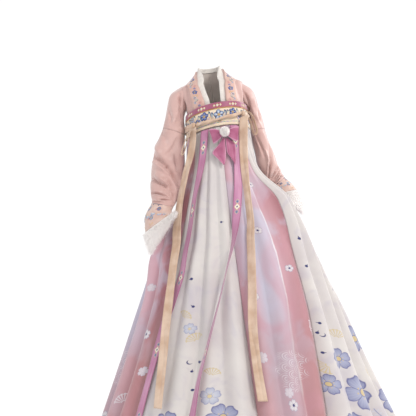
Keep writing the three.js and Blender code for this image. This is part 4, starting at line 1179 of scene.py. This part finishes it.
# Prints: motif, x and y on the panel in metres, size in metres, turn in degrees and ink. x is from the
# panel's middle, y is the height.
IVORY_FRONT = [
    ("fan", -0.047, -0.887, 0.026, 60, "gold"), ("fan", -0.004, -0.967, 0.028, 120, "gold"),
    ("fan", 0.049, -1.08, 0.026, 80, "gold"), ("flower", -0.024, -0.925, 0.02, 10, "pale_blue"),
    ("dot", -0.03, -0.75, 0.008, 200, "navy"), ("dot", -0.019, -0.848, 0.007, 140, "navy"),
    ("dot", 0.009, -1.038, 0.008, 30, "navy"), ("dot", -0.011, -1.07, 0.006, 80, "navy"),
    ("crescent", -0.018, -1.039, 0.009, 40, "navy"), ("dot", -0.005, -1.132, 0.007, 10, "navy"),
    ("flower", 0.051, -1.147, 0.03, 20, "pale_blue"), ("flower", 0.09, -1.215, 0.046, 45, "blue"),
    ("flower", -0.06, -1.25, 0.05, 5, "blue"), ("sprig", 0.01, -1.19, 0.03, 70, "pale_blue"),
    ("dot", 0.05, -0.55, 0.006, 0, "navy"),
]
IVORY_SIDE = [
    ("flower", -0.073, -1.038, 0.038, 15, "blue"), ("flower", -0.036, -1.155, 0.062, 40, "blue"),
    ("flower", -0.15, -1.118, 0.036, 70, "blue"), ("fan", -0.057, -0.967, 0.03, 70, "gold"),
    ("fan", -0.133, -1.055, 0.03, 200, "gold"), ("dot", -0.068, -0.617, 0.008, 100, "navy"),
    ("dot", -0.081, -0.714, 0.008, 40, "navy"), ("dot", -0.115, -0.913, 0.007, 160, "navy"),
    ("dot", -0.129, -0.946, 0.007, 60, "navy"), ("dot", -0.135, -1.013, 0.007, 0, "navy"),
    ("crescent", -0.119, -0.953, 0.009, 120, "navy"), ("flower", 0.09, -0.98, 0.05, 33, "blue"),
    ("flower", 0.15, -1.2, 0.056, 8, "blue"), ("fan", 0.07, -1.09, 0.032, 150, "gold"),
    ("flower", -0.11, -1.26, 0.05, 50, "blue"), ("dot", 0.03, -0.8, 0.008, 30, "navy"),
    ("flower", 0.05, -0.72, 0.026, 60, "pale_blue"), ("sprig", 0.03, -1.25, 0.04, 110, "pale_blue"),
]
ROSE_FRONT = [
    ("flower", -0.0125, -0.585, 0.014, 20, "white"), ("flower", -0.076, -0.815, 0.015, 50, "white"),
    ("flower", -0.01, -1.177, 0.022, 10, "white"), ("flower", -0.02, -1.137, 0.018, 60, "pale"),
    ("scallops", 0.0126, -1.06, 0.075, 80, "pale"), ("flower", 0.06, -0.72, 0.014, 70, "white"),
    ("flower", 0.02, -0.42, 0.012, 40, "white"), ("fan", 0.1, -0.93, 0.03, 20, "pale"),
    ("flower", -0.1, -1.02, 0.02, 35, "pale"), ("sprig", -0.04, -1.28, 0.04, 30, "pale"),
    ("flower", 0.12, -1.26, 0.03, 15, "white"),
]
ROSE_SIDE = [
    ("scallops", -0.068, -1.08, 0.07, 60, "pale"), ("flower", 0.089, -0.95, 0.02, 30, "white"),
    ("flower", -0.041, -0.372, 0.012, 10, "white"), ("flower", 0.03, -0.52, 0.013, 60, "white"),
    ("flower", 0.02, -0.78, 0.016, 25, "pale"), ("fan", 0.05, -1.2, 0.034, 120, "pale"),
    ("flower", -0.05, -0.68, 0.014, 45, "white"), ("flower", -0.1, -1.27, 0.026, 5, "white"),
    ("flower", 0.13, -1.08, 0.018, 5, "pale"),
]
PANEL_PRINTS = {
    1: (ROSE_MIDDLE_WITH_PAINTED_FOLD_LIGHT, ROSE_FRONT), 2: (ivory_ground, IVORY_SIDE), 3: (ROSE_EDGE, ROSE_SIDE),
    4: (ivory_ground, IVORY_FRONT), 5: (ROSE_MIDDLE_WITH_PAINTED_FOLD_LIGHT, ROSE_FRONT), 6: (ivory_ground, IVORY_SIDE),
    7: (ROSE_EDGE, ROSE_SIDE), 8: (ivory_ground, IVORY_FRONT),
}
FRONT_PANELS = (3, 4, 5, 6)


def skirt():
    for panel in range(1, PANELS + 1):
        near = panel in FRONT_PANELS
        rows, columns = (138, 80) if near else (84, 52)
        height, share = grid(np.linspace(WAIST - SEAM_GAP, HEM, int(rows * FINE)),
                             np.linspace(0, 1, int(columns * FINE)))
        gap = SEAM_GAP / column(SKIRT_RINGS, "front", height)
        across = panel - 1 + gap + (1 - 2 * gap) * share
        outer = skirt_point(across, height)
        uv = flat_uv((across - panel + 0.5) * panel_width(height), height)
        ground, motifs = PANEL_PRINTS[panel]
        shade = "ivory_chiffon" if panel % 2 == 0 else "rose_chiffon"
        made_of = material(f"{shade}_{panel}", skirt_paint(ground, motifs), 0.6, 0.35, (1300, 1300), 0.2)
        piece = wall(f"skirt_panel_{panel}_cloth", outer, LINEN, made_of, uv)
        sheet(piece)
        wear(piece, shade, f"skirt_panel_{panel}")


RIBBON_LOZENGES = {  # heights of the triples of lozenges along each ribbon
    "ribbon_right": (-270, -500, -745, -1000, -1240),
    "ribbon_left": (-265, -500, -745, -1000, -1240),
}


def ribbon_paint(heights):
    def paint(tree, uv, place):
        u, _, _ = parts_of(tree, uv)
        colour = mixed(tree, noise(tree, place, 12).over(0.5, 0.25), srgb(190, 116, 156), srgb(206, 146, 180))
        colour = mixed(tree, u.abs().over(0.0125, 0.001) * 0.6, colour, srgb(168, 92, 128))
        for z in heights:
            colour = stamped(tree, colour, uv, "lozenge", 0, z * MM, 0.0125, 0, "cream")
            for above in (-0.0185, 0.0185):
                colour = stamped(tree, colour, uv, "lozenge", 0, z * MM + above, 0.0088, 0, "slate")
        return colour
    return paint


def hanging_strip(name, made_of, slot, curl):
    """A strip that hangs over the skirt, with soft creases along it and curled edges."""
    width, clear, stations = HANGING[name]
    z = stations["z"]
    height, share = grid(np.linspace(z[0], z[-1], int(170 * FINE)), np.linspace(-0.5, 0.5, 13))
    at, turn = column(stations, "at", height), np.radians(column(stations, "turn", height))
    out = clear + LINEN + np.abs(np.sin(turn)) * width / 2
    middle = skirt_skin(at, height, out)
    sideways = unit(skirt_skin(at + 1, height, out) - skirt_skin(at - 1, height, out))
    outward = unit(skirt_skin(at, height, out + 1) - middle)
    turn = turn[..., None]
    across = sideways * np.cos(turn) + outward * np.sin(turn)
    face = unit(np.cross(across, np.gradient(middle, axis=0)))
    drift = 0.22 * np.sin(height / 110) + 0.1 * np.sin(height / 43)
    wave = curl * (0.7 * np.sin(0.8 * TURN * (share + drift)) * (0.6 + 0.4 * np.sin(height / 71 + 1))
                   - np.exp(-((share - drift) / 0.1) ** 2) * (0.5 + 0.5 * np.sin(height / 97)))
    outer = middle + across * (share * width)[..., None] - face * wave[..., None]
    uv = flat_uv(share * width, height)
    piece = wall(f"{name}_cloth", outer, LINEN, made_of, uv)
    sheet(piece)
    return wear(piece, slot, name)


def sash_front():
    """The stretch of sash that is twisted like a rope across the front of the band."""
    first, last = SASH_FRONT["angle"][0], SASH_FRONT["angle"][-1]
    angle, around = grid(np.linspace(first, last, int(220 * FINE)), np.linspace(0, TURN, 40, endpoint=False))
    below, twist = column(SASH_FRONT, "below", angle), np.radians(column(SASH_FRONT, "twist", angle))
    out = SASH_WIDE / 2 + SASH_CLEAR
    middle = band_point(np.radians(angle), below, out)
    outward = unit(band_point(np.radians(angle), below, out + 1) - middle)
    down = unit(band_point(np.radians(angle), below + 1, out) - middle)
    lobes = 1 - 0.3 * np.abs(np.sin(1.5 * around)) ** 0.5 + 0.06 * np.cos(9 * around + angle / 6)
    swell = 0.9 + 0.08 * np.sin(angle / 5) - 0.2 * np.exp(-((angle - 4) / 16) ** 2)
    a = np.cos(around) * SASH_WIDE / 2 * lobes * swell
    b = np.sin(around) * SASH_THICK * 0.72 * lobes * swell
    across = (a * np.cos(twist) - b * np.sin(twist))[..., None]
    deep = (a * np.sin(twist) + b * np.cos(twist))[..., None]
    points, faces = lid(middle + down * across + outward * deep)
    piece = wear(mesh_object("sash_front_cloth", points, faces, [TAN]), "tan_sash", "sash_front")


def sash_back():
    first, last = SASH_BACK["angle"][0], SASH_BACK["angle"][-1]
    share, angle = grid(np.linspace(-0.5, 0.5, 11), np.linspace(first, last, int(160 * FINE)))
    below = column(SASH_BACK, "below", angle)
    fold = 1.1 * np.sin(2 * TURN * share + angle / 14) + 0.6 * np.sin(angle / 5 + 7 * share)
    outer = band_point(np.radians(angle), below + share * SASH_FLAT, BAND_CLOTH + 2.6 + fold)
    uv = flat_uv(angle * 2, share * SASH_FLAT)
    piece = wall("sash_back_cloth", outer, LINEN, TAN, uv)
    sheet(piece)
    wear(piece, "tan_sash", "sash_back")


def knot(side):
    """A knot: a lump wrapped by slanting folds of the sash."""
    angle, below = KNOTS[side]
    along, around = grid(np.linspace(-0.99, 0.99, 40), np.linspace(0, TURN, 48, endpoint=False))
    bulge = KNOT_RADIUS * np.sqrt(1.06 - along * along)
    bulge = bulge * (1 - 0.13 * np.abs(np.sin(2.5 * along * math.pi + around)) ** 0.5)
    aside = bulge * np.cos(around) * 0.72 / BAND_DEPTH
    out = KNOT_RADIUS + 2 + bulge * np.sin(around) * 0.9
    points, faces = lid(band_point(math.radians(angle) + aside, below + along * KNOT_RADIUS, out))
    piece = mesh_object(f"sash_knot_{side}_cloth", points, faces, [TAN])
    wear(piece, "tan_sash", f"sash_knot_{side}")


def curve_through(points, count):
    """Catmull-Rom curve through points."""
    points = np.array(points, float)
    padded = np.concatenate([2 * points[:1] - points[1:2], points, 2 * points[-1:] - points[-2:-1]])
    t = np.linspace(0, len(points) - 1, count)
    i = np.minimum(t.astype(int), len(points) - 2)
    f = (t - i)[:, None]
    a, b, c, d = (padded[i + k] for k in range(4))
    return 0.5 * (2 * b + (c - a) * f + (2 * a - 5 * b + 4 * c - d) * f ** 2
                  + (3 * b - a - 3 * c + d) * f ** 3)


def sash_loop(name):
    width, facing, line = LOOPS[name]
    middle = curve_through(line, int(70 * FINE))
    across = np.array(facing) / np.linalg.norm(facing)
    share = np.linspace(-0.5, 0.5, 9)
    dome = unit(np.cross(np.gradient(middle, axis=0), across))[:, None] * (
        1.4 * np.cos(TURN * share) * np.sin(np.linspace(0, math.pi, len(middle)))[:, None])[..., None]
    outer = middle[:, None] + across * (share * width)[None, :, None] + dome
    uv = flat_uv(share[None] * width, np.arange(len(middle))[:, None] * 3.0)
    piece = sheet(wall(f"{name}_cloth", outer, LINEN, TAN, uv))
    wear(piece, "tan_sash", name)


def skirt_front(x, height, out):
    """A point in front of the skirt at x and height, moved out."""
    middle, half = column(SKIRT_RINGS, "x", height), column(SKIRT_RINGS, "left", height)
    degrees = np.degrees(np.arcsin((x - middle) / (half + out)))
    first = skirt_skin(degrees, height, out)
    return skirt_skin(degrees, 2 * height - first[..., 2], out)


def edge_paint(tree, uv, place):
    """Deep mauve with a lighter pink border along both edges. u runs from -1 to 1 across."""
    u, _, _ = parts_of(tree, uv)
    colour = mixed(tree, noise(tree, place, 40).over(0.5, 0.3), srgb(190, 108, 144), srgb(168, 84, 120))
    return mixed(tree, u.abs().over(0.84, 0.05), colour, srgb(214, 152, 180))


BOW_SATIN = material("bow", edge_paint, 0.38, 0.5, (3, 3), 0.0)


def bow_loop(name):
    x, z = BOW_LOOPS[name]
    middle = skirt_front(np.array(BOW_X), np.array(BOW_Z), BOW_CLEAR)
    outward = np.array((x, 0, z)) / math.hypot(x, z)
    up = np.array((-outward[2], 0, outward[0])) * math.copysign(1, x)
    place, share = grid(np.linspace(0, 6, int(64 * FINE)), np.linspace(-0.5, 0.5, 15))
    out, front, tall = (column(BOW_LINE, key, place) for key in ("out", "front", "tall"))
    out, tall = out * BOW_FULL, tall * BOW_FULL
    gather = (2.4 * np.cos(3.5 * TURN * share + 0.6) * np.exp(-((out - 9) / 16) ** 2)
              + 1.0 * np.sin(TURN * share))
    outer = (middle + outward * out[..., None] + up * (share * tall)[..., None]
             + np.array((0, -1, 0)) * (front + gather)[..., None])
    uv = np.stack([share * 2, place / 6], -1)
    piece = sheet(wall(f"{name}_cloth", outer, LINEN, BOW_SATIN, uv))
    wear(piece, "mauve_satin", name)


def bow_tail(name):
    rows = BOW_TAILS[name]
    place, share = grid(np.linspace(0, 4, int(60 * FINE)), np.linspace(0, 1, 15))
    ox, oz, ix, iz = (column(rows, key, place) for key in ("outer_x", "outer_z", "inner_x", "inner_z"))
    fold = 1.8 * np.sin(1.5 * TURN * share + 1) * np.sin(math.pi * np.clip(place / 4, 0.05, 0.9))
    outer = skirt_front(BOW_X + ox + (ix - ox) * share, BOW_Z + oz + (iz - oz) * share, BOW_CLEAR + 1 + fold)
    uv = np.stack([share * 2 - 1, place / 4], -1)
    piece = wall(f"{name}_cloth", outer, LINEN, BOW_SATIN, uv, flip=name.endswith("left"))
    sheet(piece)
    wear(piece, "mauve_satin", name)


def bow_ball():
    """The fur ball: short hairs all round a small core."""
    rng = np.random.default_rng(5)
    middle = skirt_front(np.array(BOW_X), np.array(BOW_Z), BOW_CLEAR) + np.array((0, -BALL_FRONT - BALL, 0))
    ways = unit(rng.normal(size=(int(8000 * FINE), 3)))
    lengths = rng.uniform(4, 7, len(ways))
    hairs = strands("bow_pompom_hairs", middle + ways * (BALL - 6), ways + rng.normal(0, 0.25, ways.shape),
                    lengths, HAIR_THICK, FUR_WHITE, 6)
    along, around = grid(np.linspace(-0.98, 0.98, 20), np.linspace(0, TURN, 28, endpoint=False))
    radius = (BALL - 4) * np.sqrt(1 - along ** 2)
    core = middle + stack(radius * np.cos(around), radius * np.sin(around), (BALL - 4) * along)
    wear(hairs, "fur", "bow_pompom")
    wear(mesh_object("bow_pompom_core", *lid(core), [FUR_WHITE]), "fur")


# ---------------------------------------------------------------- embroidery


def band_surface(u, v, out):
    return band_skin(u / BAND_HALF, -v, out)


def collar_surface(side):
    """u runs across the collar band from its outer edge, v up it from the top of the skirt's band."""
    places = collar_places(400)
    line = collar_line(side, places, 0.5, "out_", "", 0)
    length = np.cumsum(np.r_[0, np.linalg.norm(np.diff(line, axis=0), axis=1)])
    length -= np.interp(2.2, places, length)

    def surface(u, v, out):
        return collar_line(side, np.interp(v, length, places), u / 36, "out_", "",
                           out + COLLAR_CLEAR + COLLAR_CLOTH + 0.9)
    return surface


def cuff_surface(side):
    """u runs round the sleeve, v along it towards the mouth, from the border's first seam."""
    def surface(u, v, out):
        return sleeve_point(side, BORDER + v / 38, u / 45, out)
    return surface


def petal(surface, u, v, turn, length, width, high=0.7, sharp=False):
    """A raised patch of satin stitch that starts at u, v and points along turn: a petal, or a lozenge."""
    s, t = grid(np.linspace(0.02, 0.98, 5), np.linspace(-1, 1, 3))
    rounded = np.sin(math.pi * s) ** 0.7 * (0.75 + 0.5 * s)
    half = width / 2 * (1 - np.abs(2 * s - 1) if sharp else rounded)
    angle = math.radians(turn)
    x, y = s * length, t * half
    uu, vv = u + x * math.cos(angle) - y * math.sin(angle), v + x * math.sin(angle) + y * math.cos(angle)
    dome = high * (1 - t ** 2) * np.sin(math.pi * s) ** 0.5 + 0.15
    uv = flat_uv(y + 40, x)
    return shell_data(surface(uu, vv, dome), surface(uu, vv, -0.3), uv=np.concatenate([uv, uv[:, -1:]], 1))


def line_of(surface, points, width, high=0.6):
    """A raised cord through points."""
    path = curve_through([(*p, 0) for p in points], 6 * len(points))[:, :2]
    way = unit(np.gradient(path, axis=0))
    s = np.sin(np.linspace(0.15, math.pi - 0.15, len(path)))[:, None]
    t = np.linspace(-1, 1, 3)[None]
    uu = path[:, :1] - way[:, 1:] * t * width / 2 * s ** 0.5
    vv = path[:, 1:] + way[:, :1] * t * width / 2 * s ** 0.5
    dome = high * (1 - t ** 2) + 0.15 + 0 * s
    uv = flat_uv(t * width + 40, np.arange(len(path))[:, None] * 1.5)
    return shell_data(surface(uu, vv, dome), surface(uu, vv, -0.3), uv=np.concatenate([uv, uv[:, -1:]], 1))


class Stitching:
    """Collects stitched shapes on one surface, one thread colour at a time."""

    def __init__(self, surface):
        self.surface = surface
        self.parts = []

    def add(self, thread, data):
        self.parts.append((list(THREADS).index(thread), data))

    def petals(self, thread, u, v, count, first, spread, inner, length, width, high=0.7):
        for k in range(count):
            turn = first + spread * k / max(count, 1)
            a = math.radians(turn)
            self.add(thread, petal(self.surface, u + inner * math.cos(a), v + inner * math.sin(a), turn,
                                   length, width, high))

    def cord(self, thread, points, width=1.4):
        self.add(thread, line_of(self.surface, points, width))

    def flower(self, u, v, size, outer="blue", inner="mist", heart="gold", turn=90, edge="navy"):
        self.petals(edge, u, v, 5, turn, 360, size * 0.16, size * 0.88, size * 0.86, 0.3)
        self.petals(outer, u, v, 5, turn, 360, size * 0.2, size * 0.77, size * 0.66, 1.0)
        self.petals(inner, u, v, 5, turn, 360, size * 0.24, size * 0.5, size * 0.3, 1.5)
        self.petals(heart, u, v, 6, turn, 360, 0, size * 0.26, size * 0.22, 1.7)

    def finish(self, name, slot):
        return wear(joined(name, self.parts, list(THREADS.values())), slot)


# Flowers of the band's main strip: place round the band and below its top edge, size and turn.
BAND_FLOWERS = table("u v size turn", [
    (-108, -36, 10, 60), (-80, -55, 12, 100), (-51, -43, 17, 80), (5, -48, 20, 95), (60, -42, 16, 70),
    (92, -56, 11, 60), (122, -40, 14, 75), (152, -54, 13, 95), (184, -42, 15, 80), (218, -53, 14, 75),
    (252, -42, 15, 85), (286, -54, 13, 95), (320, -42, 15, 80), (350, -56, 11, 90), (-138, -52, 14, 85),
    (-170, -42, 15, 80), (-204, -54, 13, 75), (-238, -42, 15, 85), (-272, -53, 14, 95), (-306, -42, 15, 80),
    (-338, -55, 12, 90),
])
TRIPLE_STEP = 62  # between the triples of lozenges on the top strip


def band_embroidery():
    work = Stitching(band_surface)
    for k, (u, v, size, turn) in enumerate(zip(*BAND_FLOWERS.values())):
        outer, inner = ("blue", "mist") if k % 3 else ("mist", "white")
        work.flower(u, v, size, outer=outer, inner=inner, turn=turn)
        for way in (-1, 1):
            side = u + way * size
            work.petals("green", side, v + 5, 2, 90 - way * 75, 110, 1, 8, 3.6)
            work.petals("lilac", side - way * 3, v - size * 0.7, 3, -90 + way * 15, way * 100, 0, 8, 4)
            work.petals("navy", side + way * 2, v + size * 0.55, 3, 90 - way * 95, 130, 0, 6.5, 3)
            work.cord("navy", [(side - way * 3, v + 2), (side + way * 4, v + 8), (side + way * 9, v + 4),
                               (side + way * 7, v - 2)], 1.5)
            work.cord("gold", [(side, v - 6), (side + way * 6, v - 9), (side + way * 10, v - 3)], 1.5)
    for way in (-1, 1):  # arcs on both sides of the middle flower
        for reach, thread in ((23, "blue"), (26, "mist"), (29, "navy")):
            work.cord(thread, [(5 + way * (reach - 3), -33), (5 + way * (reach + 1), -44),
                               (5 + way * (reach - 2), -58)], 1.8)
    work.cord("gold", [(-9, -66), (0, -72), (6, -79), (12, -72), (21, -66)], 2.2)
    work.cord("navy", [(-6, -63), (1, -68), (6, -74), (11, -68), (18, -63)], 1.6)
    for u in np.arange(-360, 361, 12):  # a row of scallops along the lower edge
        work.petals("lilac" if int(u) % 24 else "green", u, -76, 3, -150, 180, 0.5, 5.5, 4)
    for u in np.arange(-6 * TRIPLE_STEP, 6 * TRIPLE_STEP, TRIPLE_STEP):
        for k in (-1, 0, 1):
            for thread, tall, wide, high in (("gold", 15, 14, 0.3), ("white", 11, 10, 0.9),
                                             ("navy", 5, 4.5, 1.4)):
                size = 1.0 if k == 0 else 0.78
                work.add(thread, petal(work.surface, u + 2 + 12 * k, -11 - tall * size / 2, 90, tall * size,
                                       wide * size, high, True))
    return work.finish("band_embroidery", "cream_band")


def collar_embroidery():
    made = []
    for side in SIDES:
        work = Stitching(collar_surface(side))
        for v in range(-330, 260, 72):
            work.flower(19, v + 58, 9, turn=80)
            work.flower(15, v + 34, 6.5, outer="white", inner="rose", heart="navy", turn=60)
            work.cord("gold", [(10, v + 46), (17, v + 42), (24, v + 46), (25, v + 40), (20, v + 36)], 1.5)
            work.cord("navy", [(23, v + 26), (18, v + 20), (12, v + 17), (14, v + 11)], 1.2)
            work.petals("green", 18, v + 21, 3, 60, 220, 1, 7, 3)
            work.petals("mist", 12, v + 15, 4, 100, 260, 0.5, 5.5, 2.6)
            work.petals("rose", 26, v + 12, 4, 20, 300, 0.5, 4.5, 2.6)
            work.petals("blue", 22, v + 2, 5, 0, 360, 0.5, 4.5, 2.8)
        made.append(work.finish(f"collar_{side}_embroidery", "collar_embroidery"))
    return made


def cuff_embroidery(side):
    work = Stitching(cuff_surface(side))
    for k, angle in enumerate(range(-180, 180, 30)):
        u = math.radians(angle) * 45
        low = 12 if k % 2 else 40
        work.flower(u, low + 6, 8, outer="mist" if k % 3 else "blue", inner="white", turn=20 * k)
        work.petals("mist", u + 6, low - 10 if low > 30 else low + 24, 5, 40, 140, 3, 9, 3.2)
        work.petals("white", u + 6, low - 10 if low > 30 else low + 24, 4, 55, 140, 2, 6, 2.4)
        work.cord("gold", [(u - 8, low + 22), (u - 3, low + 28), (u + 4, low + 24), (u + 6, low + 30)], 1.4)
        work.petals("rose", u - 9, low + 10, 3, 200, 120, 0, 5, 2.6)
    work.cord("navy", [(math.radians(a) * 45, 2) for a in range(-180, 181, 20)], 2.0)
    for a in range(-170, 180, 34):
        work.petals("navy", math.radians(a) * 45, 5.5, 4, 0, 360, 0, 2.6, 2.2)
    return work.finish(f"cuff_border_{side}_embroidery", "cuff_border")


# ---------------------------------------------------------------- putting it together

for side in SIDES:
    jacket_body(side)
    sleeve_tube(side, f"sleeve_{side}_cloth", EXTENSION, BORDER, 96, 0, JACKET, "jacket_padding",
                f"sleeve_{side}")
    sleeve_tube(side, f"cuff_border_{side}_cloth", BORDER, FUR, 30, 0, CUFF, "cuff_border",
                f"cuff_border_{side}", [cuff_embroidery(side)])
    cuff_fur(side)
    knot(side)
collar_band(collar_embroidery())
collar_liner()
band(band_embroidery())
skirt()
for name in ("ribbon_right", "ribbon_left"):
    hanging_strip(name, material(name, ribbon_paint(RIBBON_LOZENGES[name]), 0.4, 0.5, (1500, 1500), 0.25),
                  "mauve_ribbon", 1.2)
for name in ("sash_tail_right", "sash_tail_left"):
    hanging_strip(name, TAN, "tan_sash", 2.4)
sash_front()
sash_back()
for name in LOOPS:
    sash_loop(name)
for name in BOW_LOOPS:
    bow_loop(name)
for name in BOW_TAILS:
    bow_tail(name)
bow_ball()

# ---------------------------------------------------------------- stage, light and camera

STAGE_RADIUS = 6000.0
STAGE_HEIGHT = 9000.0
FLOOR = HEM - 12.0


def backdrop():
    """A pale floor that curves up into a wall all round."""
    rows = [(0.001, 0), (0.5, 0), (0.8, 0), (0.9, 0.01), (0.96, 0.05), (1.0, 0.16), (1.0, 0.5), (1.0, 1.0)]
    around = np.linspace(0, TURN, 96, endpoint=False)
    reach, rise = (np.array(c)[:, None] for c in zip(*rows))
    points = stack(STAGE_RADIUS * reach * np.cos(around), STAGE_RADIUS * reach * np.sin(around),
                   FLOOR + STAGE_HEIGHT * rise)
    columns = len(around)
    faces = [(i * columns + j, i * columns + (j + 1) % columns, (i + 1) * columns + (j + 1) % columns,
              (i + 1) * columns + j) for i in range(len(rows) - 1) for j in range(columns)]
    made = bpy.data.materials.new("backdrop")
    made.use_nodes = True
    shader = made.node_tree.nodes["Principled BSDF"]
    shader.inputs["Base Color"].default_value = (0.25, 0.25, 0.25, 1)
    shader.inputs["Roughness"].default_value = 1.0
    shader.inputs["Emission Color"].default_value = (1, 1, 1, 1)
    shader.inputs["Emission Strength"].default_value = 0.78
    mesh_object("backdrop", points.reshape(-1, 3), faces, [made])


def area_light(name, at, target, size, power, colour):
    light = bpy.data.lights.new(name, "AREA")
    light.size = size
    light.energy = power
    light.color = colour
    lamp = bpy.data.objects.new(name, light)
    bpy.context.scene.collection.objects.link(lamp)
    lamp.location = at
    way = np.array(target) - np.array(at)
    lamp.rotation_euler = (math.acos(-way[2] / np.linalg.norm(way)), 0, math.atan2(-way[0], way[1]))
    return lamp


backdrop()
area_light("key", (1.9, -2.6, 1.6), (0.1, 0, -0.5), 0.9, 66, (1, 0.97, 0.94))
area_light("fill", (-2.6, -2.2, 0.6), (0, 0, -0.6), 2.2, 8, (0.94, 0.96, 1))
area_light("rim", (2.4, 1.2, 1.0), (0.2, 0, -0.5), 1.0, 30, (1, 0.98, 0.96))

world = bpy.data.worlds.new("studio")
world.use_nodes = True
world.node_tree.nodes["Background"].inputs["Color"].default_value = (1, 1, 1, 1)
world.node_tree.nodes["Background"].inputs["Strength"].default_value = 0.48
bpy.context.scene.world = world
bpy.context.scene.view_settings.view_transform = "Standard"

camera_data = bpy.data.cameras.new("camera")
camera_data.sensor_fit = "HORIZONTAL"
camera_data.sensor_width = 36.0
camera_data.lens = 76.4
camera_data.clip_end = 50.0
camera = bpy.data.objects.new("camera", camera_data)
bpy.context.scene.collection.objects.link(camera)
camera.location = (-0.0115, -3.4, -0.66)
camera.rotation_euler = (math.radians(93), 0, 0)
bpy.context.scene.camera = camera
